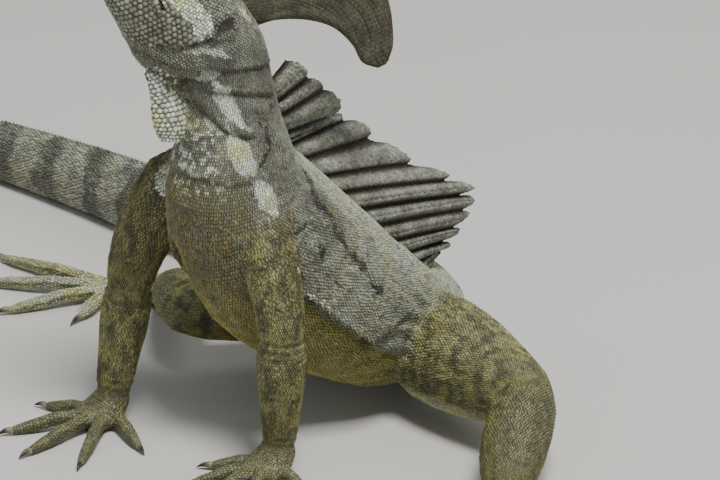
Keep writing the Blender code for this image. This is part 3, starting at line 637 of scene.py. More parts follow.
def stroke_mask(points, strokes, softness):
    """1 inside strokes laid over both sides of the body, and 0 outside."""
    inside = np.zeros(len(points))
    for stroke in strokes:
        stroke = np.array(stroke, float)
        for flip in (False, True):
            angle = 180 - stroke[:, 1] if flip else stroke[:, 1]
            t = np.linspace(0, len(stroke) - 1, len(stroke) * 6)
            wide = along(stroke, t)[:, 2]
            path = on_hide(*along(np.stack((stroke[:, 0], angle), 1), t).T)
            near = np.flatnonzero(np.abs(points - path.mean(0)).max(1) < np.ptp(path, axis=0).max() + 10)
            gaps = np.linalg.norm(points[near, None] - path[None], axis=2) - wide
            ragged = gaps.min(1) + 0.32 * clouds(points[near], 1.7, 7)
            inside[near] = np.maximum(inside[near], 1 - smooth(-softness, softness, ragged))
    return inside


# The regions of the hide, as masks from 0 to 1. The half angle is the turn round the body with its
# two sides folded onto one, and the blur makes the edges of the regions uneven.
hide_x, hide_y, hide_z = hide_points.T
half_angle = np.where(np.abs(hide_angle) > 90, np.sign(hide_angle) * 180 - hide_angle, hide_angle)
blur = clouds(hide_points, 5, 1)
_, edge_s, edge_angle = measured(drawn(flank_edge)[::-1])
order = np.argsort(edge_s)
below_edge = 4
belly_edge = np.interp(hide_s, edge_s[order], edge_angle[order] - below_edge)
on_limb = relaxed((~axial_owner[:, None]).astype(float), 30, keep_size=False)[:, 0]
on_body = 1 - on_limb
on_dewlap = owner == flesh.index("dewlap")
on_tail = on_body * (1 - smooth(10.1, 11.1, hide_s))
on_trunk = on_body * smooth(10.3, 11.0, hide_s) * (1 - smooth(16.5, 17.2, hide_s))
belly = on_trunk * (1 - smooth(-1.2, 1.2, half_angle - belly_edge))
belly = belly * (1 - smooth(15.2, 15.9, hide_s + 0.1 * blur))
breast = on_trunk * smooth(15.0, 15.5, hide_s + 0.06 * blur)
breast = breast * (1 - smooth(-48, -36, half_angle + 2 * blur))
flank = on_trunk * (1 - belly) * (1 - breast)
back = on_trunk * smooth(16, 30, half_angle) * (1 - smooth(15.7, 16.9, hide_s))
front_neck = on_body * smooth(16.4, 16.8, hide_s) * (1 - smooth(17.6, 18.1, hide_s))
front_neck = front_neck * (1 - smooth(-60, -50, half_angle))
neck_side = on_body * smooth(17.0, 17.6, hide_s) * (1 - smooth(19.0, 19.6, hide_s))
neck_side = neck_side * smooth(-45, -30, half_angle)
crest_foot = on_body * smooth(12.2, 12.8, hide_s) * (1 - smooth(18.6, 19.0, hide_s))
crest_foot = crest_foot * (1 - smooth(7, 12, np.abs(half_angle - 90)))
on_toes = on_limb * (1 - smooth(9, 14, hide_z))
on_hands = on_toes * (np.abs(hide_x + 12) < 60) * (hide_y < 20)
on_shins = on_limb * smooth(62, 80, np.abs(hide_x - 6)) * (1 - on_toes)
# Orange-brown: the mottled breast, the middle of the belly, and the ochre strokes. Green is an
# olive tone on the breast and the right upper arm.
chest_mottle = smooth(-0.4, 1.3, 0.5 * blur + 0.9 * clouds(hide_points, 1.5, 8))
warm = np.maximum.reduce([
    0.8 * breast * hump(hide_s, 15.7, 0.6) * chest_mottle,
    0.5 * on_trunk * hump(hide_s, 14.6, 0.5) * smooth(-70, -95, half_angle),
    0.55 * stroke_mask(hide_points, ochre_strokes, 0.7),
])
green = np.maximum(
    breast * (0.75 + 0.25 * smooth(-4, -16, hide_x)) * smooth(15.2, 15.8, hide_s),
    0.75 * on_limb * (hide_x < -8) * smooth(30, 55, hide_z),
)
# Dark: the strokes and specks, the mottled limbs, the tail's bands, the toes' rings, a band back from
# the eye, over the ear, hands and shins; and painted shade in the mouth's slit, the nostrils, the ears,
# two creases and on the neck's side.
ahead, up = (hide_points - nape) @ head_ahead, (hide_points - nape) @ head_up
bars = 0.5 + 0.5 * np.cos((hide_s + half_angle * 0.002) * math.tau * 1.15 + 1.2)
specks = flank * smooth(1.1, 1.7, clouds(hide_points, 1.5, 4) + 0.8 * bars - 0.2)
broken = 0.65 + 0.35 * smooth(-0.4, 0.5, clouds(hide_points, 1.5, 10))
mottle = clouds(hide_points * (1, 1, 0.6), 2.4, 5) + 0.45 * clouds(hide_points, 1.2, 9)
tail_wave = 0.5 + 0.5 * np.cos(hide_s * math.tau * 2.35 + 0.3 * blur)
banded = smooth(0.25, 0.85, tail_wave + 0.15 * blur)
toe_rings = 0.5 + 0.5 * np.cos(np.hypot(hide_x, hide_y) * math.tau / 9.5)
eye_band = hump(up, 3.0 + 0.5 * blur, 2.2) * smooth(10, 14, ahead) * smooth(30, 27, ahead)
dark = np.maximum.reduce([
    stroke_mask(hide_points, dark_strokes, 0.35) * broken,
    0.5 * specks,
    0.62 * on_limb * smooth(0.2, 0.9, mottle) * smooth(10, 16, hide_z),
    0.46 * on_tail * banded,
    0.5 * on_toes * smooth(0.55, 0.9, toe_rings),
    # Painted shade in the mouth's closed slit, and in the nostrils and the ears' dishes.
    0.95 * (1 - smooth(0.35, 0.75, mouth_gap)),
    (0.95 - 0.5 * (hide_s < 21)) * (1 - smooth(0.8, 1.1, dish_gap)),
    0.55 * on_body * eye_band * (hide_s > 19.5),
    0.35 * on_body * hump(up, 6, 3.5) * hump(ahead, 11, 4),
    0.6 * on_hands + 0.46 * on_shins,
    # Painted shade: the neck's side under the head is darkened a little.
    0.2 * neck_side,
])
# Pale: the stripe's strokes, the spotted front of the neck, the dewlap, a line along the crest's
# foot, the feet, the back and the loin where they aren't dark, and the tail between its bands.
pale = np.maximum.reduce([
    stroke_mask(hide_points, pale_strokes, 0.4) * (0.86 + 0.14 * np.clip(clouds(hide_points, 2.2, 2), -1, 1)),
    0.75 * front_neck * smooth(0.2, 1.0, clouds(hide_points, 1.4, 6)),
    0.62 * on_dewlap,
    0.36 * crest_foot,
    0.36 * on_toes - 0.30 * on_hands,
    0.36 * back * (1 - dark),
    0.24 * flank * (1 - dark) * smooth(15.2, 14.4, hide_s),
    0.2 * on_tail * (1 - banded),
])
hide_marks, hide_ground = np.stack((pale, dark, warm), 1), np.stack((belly, on_limb, green), 1)


def hide_finish(name, crown_shown):
    """The colours of the living hide. On scales the rims are darkened as painted shade between the scales,
    and the crowns lightened as a painted highlight.
    """
    finish = Finish(name, roughness=0.55, Specular_IOR_Level=0.45)
    pale, dark, warm = finish.painted("marks")
    belly, limb, green = finish.painted("ground")
    broad, patchy, grain = finish.noise(0.011), finish.noise(0.0045, 2), finish.noise(0.0011, 2)
    flank = finish.between(broad, 0.35, 0.65, "7f7f6e", "9fa18e")
    flank = finish.between(patchy, 0.42, 0.62, flank, "5d5b50", most=0.45)
    under = finish.between(patchy, 0.35, 0.65, "8d863e", "aaa258")
    leg = finish.between(patchy, 0.34, 0.60, "73704b", "97955f")
    leg = finish.between(broad, 0.52, 0.70, leg, "9c9446", most=0.45)
    olive = finish.between(patchy, 0.35, 0.65, "57562a", "80783c")
    rust = finish.between(patchy, 0.40, 0.60, "7b5c2c", "9d873f")
    cream = finish.between(broad, 0.40, 0.60, "e8f4e2", "eeecb0")
    colour = flank
    for share, shown in (
        (belly, under), (limb, leg), (green * 0.8, olive), (warm * 0.85, rust),
        (dark * 0.85, "221a18"), (pale, cream),
    ):
        colour = finish.mix(share, colour, shown)
    if crown_shown:
        crown, chance, _ = finish.painted("scale")
        # Painted shade and highlight: each scale darkens towards its sunk rim and is lit past its colour on
        # its crown.
        shade = finish.ramp(crown, (0.0, 0.12), (0.45, 0.6), (1.0, 1.2)) * (chance * 0.66 + 0.68)
        finish.set(Roughness=0.6 - crown * 0.24)
        finish.bump(grain, 0.25, 0.0002)
    else:
        # Painted shade: the bare hide, seen in the gaps between scales, keeps only a fifth to two fifths of
        # its colour.
        shade = finish.ramp(grain, (0.3, 0.2), (0.7, 0.4))
        finish.set(Roughness=0.7)
        finish.bump(finish.noise(0.0008, 2), 0.4, 0.0003)
    finish.shaded(colour, shade)
    return finish


# The bare hide is drawn dark, as painted shade where it shows between the scales.
hide_skin = hide_finish("hide_skin", False)
scale_skin = hide_finish("scale_skin", True)
hide = make_mesh("hide", hide_points, hide_faces, hide_skin)
carry(hide, "marks", hide_marks)
carry(hide, "ground", hide_ground)
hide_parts(*flesh)

# The scales: horny plates that grow out of the hide in staggered rows, small and keeled on trunk
# and tail, flatter on the belly, and cobbled on head and throat. Each is a low plate whose rim is
# sunk in the hide, with its free end towards tail or toe.
# An outline has a corner's place across and along the scale, and its height, where -1 is the sunk rim.
keeled_outline = np.array((
    (0, -0.56, -1), (0.5, -0.16, -1), (0.36, 0.36, -1), (0, 0.62, -1), (-0.36, 0.36, -1), (-0.5, -0.16, -1),
    (0, -0.12, 0.75), (0, 0.34, 1.0),
))
keeled_faces = np.array((
    (0, 1, 6), (1, 7, 6), (1, 2, 7), (2, 3, 7), (3, 4, 7), (4, 5, 7), (5, 6, 7), (5, 0, 6),
))


def domed(ring, narrowed, shoulder, crown):
    """A plate with a sunk rim, a ring on its shoulder and a low middle, and its faces."""
    count = len(ring)
    outline = np.vstack((
        np.column_stack((ring, np.full(count, -1.0))),
        np.column_stack((ring * narrowed, np.full(count, shoulder))),
        (0, crown, 1.0),
    ))
    low, after = np.arange(count), (np.arange(count) + 1) % count
    faces = np.vstack((
        np.stack((low, after, count + after), 1),
        np.stack((low, count + after, count + low), 1),
        np.stack((count + low, count + after, np.full(count, 2 * count)), 1),
    ))
    return outline, faces


hexagon = np.arange(6) * math.pi / 3 - math.pi / 2
octagon = np.arange(8) * math.pi / 4 + math.pi / 8
rounded = np.stack([np.sign(f(octagon)) * np.abs(f(octagon)) ** 0.45 * 0.5 for f in (np.cos, np.sin)], 1)
shapes = {
    "keeled": (keeled_outline, keeled_faces),
    "cobble": domed(np.stack((np.cos(hexagon) * 0.56, np.sin(hexagon) * 0.54), 1), 0.76, 0.58, 0.05),
    "plate": domed(rounded, 0.84, 0.7, 0),
}


def limb_line(rows):
    """Sections of a limb from rows of place, half side and half depth."""
    rows = np.array(rows, float)
    side, made = None, []
    for i, row in enumerate(rows):
        ahead = unit(rows[min(i + 1, len(rows) - 1)][:3] - rows[max(i - 1, 0)][:3])
        hint = np.cross(ahead, (0, 0.1, 1)) if side is None else side
        side = unit(hint - ahead * (hint @ ahead))
        made.append((*row[:3], *side, row[3], row[4], row[4], 2, 2))
    return np.array(made)


def rows_of_scales(rows, start, end, around, pitch, outer=1.35, low=-180, high=180, backwards=False):
    """Roots of scales in staggered rows between two places of a line of sections.
    pitch is a scale's length for its width. Roots are cast from the middle onto the hide."""
    corners, uneven, shallowest = 121, 0.12, 0.62
    turn = np.linspace(0, math.tau, corners)
    stations, s = [], start
    while s < end:
        stations.append(s)
        loop = shell(rows, np.full(corners, s), turn)
        girth = np.linalg.norm(np.diff(loop, axis=0), axis=1).sum()
        speed = np.linalg.norm(along(rows, s + 0.01)[:3] - along(rows, s - 0.01)[:3]) / 0.02
        s += pitch * girth / around / speed
    stations = start + (np.array(stations) - start) * (end - start) / (s - start)
    loops = shell(rows, np.repeat(stations, corners), np.tile(turn, len(stations))).reshape(-1, corners, 3)
    run = np.cumsum(np.linalg.norm(np.diff(loops, axis=1), axis=2), axis=1)
    angles = np.empty((len(stations), around))
    for k in range(len(stations)):
        share = (np.arange(around) + 0.5 * (k % 2) + uneven * random.normal(size=around)) / around
        angles[k] = np.interp(share % 1 * run[k, -1], np.append(0, run[k]), turn)
    s_all = np.repeat(stations, around)
    wanted = shell(rows, s_all, angles.ravel())
    middle = sections(rows, s_all)[0]
    grid = wanted.reshape(len(stations), around, 3)
    width = np.repeat(run[:, -1] / around, around)
    length = np.linalg.norm(np.gradient(grid, axis=0), axis=2).ravel()
    lie = np.gradient(grid, axis=0).reshape(-1, 3) * (-1 if backwards else 1)
    degrees = (np.degrees(angles.ravel()) + 180) % 360 - 180
    kept, places, normals, under = [], [], [], []
    for k in np.flatnonzero((degrees >= low) & (degrees <= high)):
        span = wanted[k] - middle[k]
        far = float(np.linalg.norm(span))
        cast = surface.ray_cast(Vector(middle[k]), Vector(span / far), far * outer + 1.5)
        hit, normal, face, distance = cast
        if hit is not None and distance > far * shallowest:
            kept.append(k)
            places.append(hit)
            normals.append(normal)
            under.append(hide_faces[face][0])
    kept, places, normals = np.array(kept), np.array(places), np.array(normals)
    normals *= np.sign((normals * (places - middle[kept])).sum(1, keepdims=True))
    share = np.stack(((s_all[kept] - start) / (end - start), np.radians(degrees[kept]) / math.tau + 0.5), 1)
    return {
        "place": places, "normal": normals, "lie": lie[kept], "width": width[kept],
        "length": length[kept], "under": np.array(under), "degrees": degrees[kept], "root": share,
    }


def chosen(roots, keep):
    return {name: values[keep] for name, values in roots.items()}


def together(groups):
    """Several groups of roots as one, each with its own strip of the map."""
    for k, roots in enumerate(groups):
        roots["root"] = np.clip(roots["root"], 0.01, 0.99) * (1, 1 / len(groups)) + (0, k / len(groups))
    return {name: np.concatenate([roots[name] for roots in groups]) for name in groups[0]}


placed = []


def known_roots():
    tree = KDTree(sum(len(roots["place"]) for roots in placed))
    known = {name: np.concatenate([roots[name] for roots in placed]) for name in ("place", "lie", "width")}
    for k, place in enumerate(known["place"]):
        tree.insert(place, k)
    tree.balance()
    return tree, known


def thinned(roots, closest=0.6):
    """Leaves out the roots that would sit on scales placed before, where two sets of rows meet."""
    if placed:
        tree, known = known_roots()
        found = [tree.find(p) for p in roots["place"]]
        gap = np.array([f[2] for f in found])
        beside = known["width"][[f[1] for f in found]]
        roots = chosen(roots, gap > closest * (roots["width"] + beside) / 2)
    placed.append(roots)
    return roots


def bare_roots():
    """Roots for the places that no row reaches: creases, the snout's end, and where limbs join."""
    tree, known = known_roots()
    found = [tree.find(p) for p in hide_points]
    gap, beside = np.array([f[2] for f in found]), np.array([f[1] for f in found])
    width = np.clip(known["width"][beside], 0.7, 1.5)
    near_eye, eye_opening, smallest, spacing, cell_size = 9, 5.5, 0.8, 1.08, 1.5
    open_skin = (mouth_gap > 0.8) & (dish_gap > 1.1)
    for place in eye_middles:
        from_eye = np.linalg.norm(hide_points - place, axis=1)
        width = np.where(from_eye < near_eye, np.minimum(width, smallest), width)
        open_skin &= from_eye > eye_opening
    open_skin &= gap > 0.82 * width
    accepted, cells = [], {}
    order = np.flatnonzero(open_skin)
    for k in order[np.argsort(gap[order])]:
        place, size = hide_points[k], width[k]
        cell = tuple((place // cell_size).astype(int))
        around = [
            other for x in (-1, 0, 1) for y in (-1, 0, 1) for z in (-1, 0, 1)
            for other in cells.get((cell[0] + x, cell[1] + y, cell[2] + z), ())
        ]
        if all(np.abs(place - hide_points[other]).sum() > spacing * size for other in around):
            cells.setdefault(cell, []).append(k)
            accepted.append(k)
    k = np.array(accepted)
    spot = np.stack((hide_s[k] / snout, hide_angle[k] / 360 + 0.5), 1)
    return {
        "place": hide_points[k], "normal": hide_normals[k], "lie": known["lie"][beside[k]],
        "width": width[k], "length": width[k], "under": k, "degrees": hide_angle[k], "root": spot,
    }


def grow(name, roots, shape, height, finish=None, cover=(1.1, 1.3), sunk=0.22, unlike=0.08):
    """One piece of the coat: a plate on every root, with the markings of the hide under it."""
    outline, faces = shapes[shape]
    count, corners = len(roots["place"]), len(outline)
    normal = unit(roots["normal"])
    lie = roots["lie"] - normal * (roots["lie"] * normal).sum(1, keepdims=True)
    lie = unit(lie + np.cross(normal, lie) * random.normal(size=(count, 1)) * unlike)
    side = np.cross(lie, normal)
    size = 1 + random.normal(size=count) * unlike
    tall = height * size * (1 + random.normal(size=count) * unlike)
    x = outline[None, :, 0, None] * (side * (roots["width"] * cover[0] * size)[:, None])[:, None]
    y = outline[None, :, 1, None] * (lie * (roots["length"] * cover[1] * size)[:, None])[:, None]
    rise = np.where(outline[None, :, 2] > 0, outline[None, :, 2] * tall[:, None], -sunk)
    points = roots["place"][:, None] + x + y + normal[:, None] * rise[..., None]
    triangles = (faces[None] + (np.arange(count) * corners)[:, None, None]).reshape(-1, 3)
    made = make_mesh(name, points.reshape(-1, 3), triangles, finish or scale_skin)
    marks, ground = hide_marks[roots["under"]], hide_ground[roots["under"]]
    crown = np.tile(np.clip(outline[:, 2], 0, 1), count)
    chance = np.repeat(random.uniform(size=count), corners)
    carry(made, "marks", np.repeat(marks, corners, 0))
    carry(made, "ground", np.repeat(ground, corners, 0))
    carry(made, "scale", np.stack((crown, chance, crown * 0), 1))
    map_patch = 0.003
    patch = np.clip(roots["root"], map_patch, 1 - map_patch)[:, None] + outline[None, :, :2] * map_patch
    patch = patch.reshape(-1, 2)
    layer = made.data.uv_layers.new(name="OFBake", do_init=False)
    layer.uv.foreach_set("vector", patch[triangles.ravel()].astype(np.float32).ravel())
    return made


eye_middles = [in_head(*eye_spot, sign * 12.0) for sign in (1, -1)]
ear_middles = [cheek(*ear_spot, sign) for sign in (1, -1)]


def clear_of_openings(roots):
    """Leaves out the roots in the eyes' openings and the ears."""
    keep = np.ones(len(roots["place"]), bool)
    for places, size in ((eye_middles, 5.1), (ear_middles, 3.2)):
        for place in places:
            keep &= np.linalg.norm(roots["place"] - place, axis=1) > size
    return chosen(roots, keep)


trunk = thinned(rows_of_scales(body, 11.3, 16.6, 168, 0.95, backwards=True))
upper = (trunk["degrees"] > -32) & (trunk["degrees"] < 180) | (trunk["degrees"] < -148)
grow("back_scales", chosen(trunk, upper), "keeled", 0.32)
grow("belly_scales", chosen(trunk, ~upper), "keeled", 0.2)
jaw_edge = (-90, -68, -46, -24, -9, 8, 40, 90), (21.6, 21.1, 20.5, 20.2, 20.05, 19.8, 19.5, 19.4)


def behind_jaw(roots):
    """1 for the roots on the neck's side of the jaw's hind edge."""
    return hide_s[roots["under"]] < np.interp(half_angle[roots["under"]], *jaw_edge)


neck_scales = together([
    rows_of_scales(body, a, b, around, 0.95, backwards=True)
    for a, b, around in ((16.6, 17.0, 150), (17.0, 17.5, 132), (17.5, 21.6, 118))
])
neck_scales = thinned(chosen(neck_scales, behind_jaw(neck_scales) & ~on_dewlap[neck_scales["under"]]))
grow("neck_scales", neck_scales, "keeled", 0.26)
throat, crown_scales = [], []
head_bands = ((19.3, 22.2, 104, 64), (22.2, 23.9, 84, 54), (23.9, 25.0, 60, 42), (25.0, 25.7, 38, 28))
for start, end, above, below in head_bands:
    throat.append(rows_of_scales(body, start, end, below, 0.98, low=-172, high=-14, backwards=True))
    crown_scales.append(rows_of_scales(body, start, end, above, 0.98, low=-14, high=180, backwards=True))
    crown_scales.append(rows_of_scales(body, start, end, above, 0.98, low=-180, high=-166, backwards=True))
throat = clear_of_openings(together(throat))
throat = chosen(throat, ~behind_jaw(throat))
crown_scales = clear_of_openings(together(crown_scales))
crown_scales = chosen(crown_scales, ~behind_jaw(crown_scales))
tail_bands = (
    (10.9, 11.3, 146), (10.5, 10.9, 128), (10.1, 10.5, 112), (9.6, 10.1, 96), (9.0, 9.6, 82),
    (8.3, 9.0, 70), (7.3, 8.3, 60), (6.2, 7.3, 52), (5.0, 6.2, 45), (3.9, 5.0, 37), (2.8, 3.9, 29),
    (1.7, 2.8, 22), (0.8, 1.7, 15), (0.05, 0.8, 10),
)
tail = thinned(together([
    rows_of_scales(body, a, b, around, 1.1, backwards=True) for a, b, around in tail_bands
]))
grow("tail_scales", tail, "keeled", 0.34, cover=(1.1, 1.45))

# The coat of the legs: keeled scales in rows round each limb, which get smaller towards hands and
# feet and go on to the ends of the digits. A row of a limb is its middle and two half widths.
upper_arm = {
    "left": ((5, 8, 84, 9, 9), (12.4, 3.6, 78, 10.4, 10.4), (19.4, 1, 66, 8.8, 9.2),
             (23.6, -0.5, 54, 7.6, 8), (24.4, -1, 46, 6.9, 7.3), (24.6, -1, 41, 4.6, 5)),
    "right": ((-10, 10, 89, 9, 9), (-21.4, 6, 83, 11, 11), (-30.4, 4, 69, 9.8, 10.2),
              (-36.4, 3.4, 56, 8.2, 8.6), (-38.6, 3, 47, 7, 7.4), (-39.4, 2.8, 41, 4.6, 5)),
}
forearm = {
    "left": ((24.4, -1, 48, 6.2, 6.6), (24.6, -1, 42, 7.3, 7.7), (24.4, -0.8, 34, 7.4, 7.8),
             (23.2, 0, 22, 6.3, 6.4), (22.2, 0.8, 13, 5.6, 5.4), (22, 0.8, 8, 4.4, 4.2)),
    "right": ((-38.4, 3, 48, 6.2, 6.6), (-39.4, 2.8, 42, 7.4, 7.8), (-40.6, 2.2, 34, 7.8, 8),
              (-42, 0.8, 22, 6.5, 6.6), (-43, -0.2, 13, 5.8, 5.6), (-43.4, -0.6, 8, 4.4, 4.2)),
}
thigh = {
    "left": ((14, 76, 22.5, 14, 14), (31, 68, 21.6, 17.6, 17.4), (48, 62.4, 21.6, 16.6, 16.4),
             (63, 57.6, 21.4, 13.6, 13.6), (74, 54, 21, 10.8, 10.8), (80.4, 51, 20.4, 7.2, 7.2)),
    "right": ((4, 80, 24, 12, 12), (-10, 74, 23.6, 15, 14.6), (-25, 64, 23.4, 14, 14),
              (-38, 54, 22.2, 11.8, 11.8), (-48, 47, 20.5, 9.8, 9.8), (-53.5, 43, 19.5, 6.6, 6.6)),
}
shank = {
    "left": ((73, 58, 21.4, 8, 8), (79, 49, 20.5, 9.9, 9.9), (86, 36, 18.4, 10.7, 10.4),
             (93.5, 22, 14.4, 9.6, 9.4), (100.4, 11, 10.8, 6.4, 6.2), (104.6, 4.4, 8.8, 4.4, 4.2)),
    "right": ((-46, 44, 20.5, 7, 7), (-53, 48, 19.6, 9.2, 9.2), (-63, 57, 17.2, 9.8, 9.4),
              (-74, 67, 13.4, 8.4, 8), (-83, 75, 10, 5.8, 5.6), (-88.6, 79.4, 8.4, 4.2, 4)),
}
palm = {
    "left": ((22.1, 2.4, 9.4, 4.8, 4.6), (22, -1.0, 6.4, 6.6, 5.2), (21.6, -6.4, 3.4, 7.6, 3.8),
             (21.2, -11, 2.6, 5.4, 2.9)),
    "right": ((-43.3, 1.6, 9.4, 4.8, 4.6), (-43.6, -2.4, 6.4, 6.8, 5.2), (-44.6, -8, 3.4, 7.8, 3.8),
              (-45.4, -12.6, 2.6, 5.4, 2.9)),
}
sole = {
    "left": ((104, 7, 8.4, 4.6, 4.6), (106.6, 0.6, 6.2, 6, 5), (109, -9, 4.2, 6.2, 4.2),
             (110.6, -18, 3.2, 6.4, 3.4), (111.2, -22, 2.6, 4.4, 2.8)),
    "right": ((-86.6, 79.6, 8.4, 4.6, 4.6), (-92.4, 78, 6.2, 6, 5), (-101.4, 74.8, 4.2, 6.2, 4.2),
              (-109.6, 72.2, 3.2, 6.4, 3.4), (-113.6, 71.2, 2.6, 4.4, 2.8)),
}
fingers = {
    "left": (((18, -2.5), (4.6, -10.6), 2.3), ((18.6, -7), (8.4, -24), 2.3), ((21, -8.5), (18.6, -32), 2.4),
             ((23.6, -8), (32, -29), 2.4), ((25.6, -3.6), (41, -8.6), 2.2)),
    "right": (((-39.6, -4), (-22, -13.6), 2.3), ((-41.2, -8), (-28.6, -33), 2.3),
              ((-44, -10), (-46, -37), 2.4), ((-47, -9), (-60.6, -29), 2.4),
              ((-48.6, -4.8), (-65, -7.6), 2.2)),
}
toes = {
    "left": (((106.6, -14), (98.4, -33), 2.3), ((108, -17.6), (99.6, -48), 2.5),
             ((110, -18.6), (107.6, -60), 2.6), ((112.4, -18), (120.6, -66), 2.6),
             ((108.6, -3), (128, -25.6), 2.3)),
    "right": (((-106, 70), (-103.6, 52.6), 2.3), ((-109.6, 69.4), (-125.6, 42.6), 2.5),
              ((-110.6, 71.6), (-147, 56), 2.6), ((-110.4, 74), (-157, 75), 2.6),
              ((-94, 80), (-127, 97.4), 2.3)),
}
digit_line = (
    (0, 1.4, 1.1), (0.22, 1.5, 1.0), (0.45, 1.5, 0.98), (0.62, 0.5, 0.98), (0.8, 0.3, 0.86), (1, 0.1, 0.62),
)


def digit_rows(root, tip, size):
    """A finger or toe that arches off its palm and comes down on its last joint."""
    root, tip = np.array(root, float), np.array(tip, float)
    pressed = 0.14
    return [
        (*(root + (tip - root) * t), size * girth - pressed + lift, size * girth, size * girth)
        for t, lift, girth in digit_line
    ]


for name, table, around, pitch in (
    ("upper_arm", upper_arm, 60, 0.95), ("forearm", forearm, 52, 0.95), ("thigh", thigh, 100, 1.0),
    ("shank", shank, 64, 1.0),
):
    both = thinned(together([
        rows_of_scales(limb_line(table[side]), 0, 4.95, around, pitch) for side in ("left", "right")
    ]))
    grow(name + "_scales", both, "keeled", 0.3)
for name, table, digits in (("hand", palm, fingers), ("foot", sole, toes)):
    groups = []
    for side in ("left", "right"):
        groups.append(rows_of_scales(limb_line(table[side]), 0, len(table[side]) - 1.05, 38, 1.0))
        for digit in digits[side]:
            groups.append(rows_of_scales(limb_line(digit_rows(*digit)), 0.1, 4.9, 14, 1.1))
    both = thinned(together(groups))
    grow(name + "_scales", both, "keeled", 0.26)

# The dewlap: a limp pleat of throat skin that hangs down in front of the neck. It is part of the
# hide, and beaded with the body's largest round scales.
dewlap_rows = (
    (-9.8, -15.8, 130.5, 2.2, 4.4), (-9.0, -13.9, 126.5, 3.0, 6.0), (-8.4, -12.0, 121, 3.6, 7.0),
    (-8.2, -11.5, 114.5, 3.8, 7.0), (-8.3, -11.8, 108.5, 3.2, 5.8), (-8.6, -12.6, 104.6, 2.0, 3.2),
)
beads = rows_of_scales(limb_line(dewlap_rows), 0.3, 4.95, 19, 0.95, outer=1.6)
beads = thinned(chosen(beads, on_dewlap[beads["under"]]))
grow("dewlap_beads", beads, "cobble", 0.5, cover=(1.0, 1.08))


# The mouth is edged by one row of large flat lip scales above and one below, the brow by a row
# of keeled ones, and nostril and ear by small beads. All are thickened hide, as the coat is.
def roots_at(places, lie, width, length):
    """Roots for plates at the hide's points nearest to the places, each lying its own way."""
    found = [surface.find_nearest(Vector(p)) for p in places]
    count = len(found)
    return {
        "place": np.array([f[0] for f in found]),
        "normal": np.array([f[1] for f in found]), "lie": np.asarray(lie) * np.ones((count, 1)),
        "width": np.ones(count) * width, "length": np.ones(count) * length,
        "under": np.array([hide_faces[f[2]][0] for f in found]), "degrees": np.zeros(count),
        "root": np.stack((np.linspace(0.02, 0.98, count),) * 2, 1),
    }


def circle(count):
    """That many equal turns round a circle."""
    return np.arange(count) * math.tau / count


groups = []
for sign in (1, -1):
    for lift in (1.2, -1.25):
        t = np.linspace(0.95, 5.95, 13)
        line = along(mouth, t)
        ahead, up = line[:, 0], line[:, 1] + lift
        upper, lower = (cheek(ahead, up + step, sign) for step in (0.5, -0.5))
        places = cheek(ahead, up, sign, 0.1 if lift > 0 else 0.4)
        lie = np.gradient(places, axis=0)
        beside = places + (upper - lower) * 0.8 * np.sign(lift)
        lip = roots_at(beside, lie, 1.1 + 0.9 * smooth(0.4, 2.4, t), np.linalg.norm(lie, axis=1))
        lip["place"], lip["normal"] = places, unit(np.cross(lie, lower - upper)) * sign
        groups.append(lip)
for up in (0.4, -3.0):
    groups.append(roots_at(in_head([58.6, 59, 58.6], [up] * 3, [-1.7, 0, 1.7]), head_left, 1.5, 1.7))
lips = thinned(together(groups), 0)
grow("lip_scales", lips, "plate", 0.26, cover=(1.02, 1.0), sunk=0.45, unlike=0.03)
groups = []
for sign in (1, -1):
    brow = ((48, 6.4), (42, 9.0), (34, 10.9), (26, 11.2), (19, 10.4))
    places = cheek(*along(brow, np.linspace(0.1, 3.9, 14)).T, sign, 0.6)
    groups.append(roots_at(places, np.gradient(places, axis=0), 1.5, 1.9))
grow("brow_scales", thinned(together(groups), 0), "keeled", 0.42, cover=(1.15, 1.4), unlike=0.06)
groups = []
for middle, wide, tall, count, size in ((nostril_spot, 1.8, 1.4, 9, 0.85), (ear_spot, 3.3, 4.2, 22, 1.0)):
    for sign in (1, -1):
        turn = circle(count)
        places = cheek(middle[0] + wide * np.cos(turn), middle[1] + tall * np.sin(turn), sign)
        groups.append(roots_at(places, places - cheek(*middle, sign), size, size))
grow("rim_scales", thinned(together(groups)), "cobble", 0.3, cover=(1.0, 1.0), unlike=0.05)


# The eardrum: a thin bare disc of skin, a little sunk and dished, and stretched across its
# opening behind the jaw.
def ring_faces(rings, corners, turned_over=False):
    """Triangles between rings of corners that follow one another."""
    ids = np.arange(rings * corners).reshape(rings, corners)
    a, b, c, d = ids[:-1], ids[1:], np.roll(ids[1:], -1, 1), np.roll(ids[:-1], -1, 1)
    order = ((a, c, b), (a, d, c)) if turned_over else ((a, b, c), (a, c, d))
    return np.concatenate([np.stack(face, -1).reshape(-1, 3) for face in order])


half_wide, half_tall, sunk, dished = 2.5, 3.3, 2.0, 0.5
for label, sign in (("left", 1), ("right", -1)):
    turn, out = np.meshgrid(circle(28), np.linspace(0.02, 1, 6))
    ahead, up = ear_spot[0] + half_wide * out * np.cos(turn), ear_spot[1] + half_tall * out * np.sin(turn)
    drum = in_head(ahead, up, sign * (head_side(*ear_spot) - sunk + dished * out**2))
    made = make_mesh("eardrum_" + label, drum.reshape(-1, 3), ring_faces(*out.shape, sign < 0), hide_skin)
    carry(made, "marks", np.tile((0.0, 0.4, 0.5), (out.size, 1)))
    carry(made, "ground", np.zeros((out.size, 3)))

# The throat's cobbles are larger than the crown's, and small scales fill whatever skin is still
# bare: the bottoms of creases, the snout's end, and the places where two coats meet.
throat = thinned(throat, 0.75)
grow("throat_scales", throat, "cobble", 0.26, cover=(1.03, 1.1), unlike=0.1)
crown_scales = thinned(crown_scales, 0.75)
grow("head_scales", crown_scales, "cobble", 0.22, cover=(1.03, 1.12), unlike=0.12)
fillers = bare_roots()
grow("crease_scales", fillers, "keeled", 0.2, cover=(1.2, 1.3), unlike=0.12)

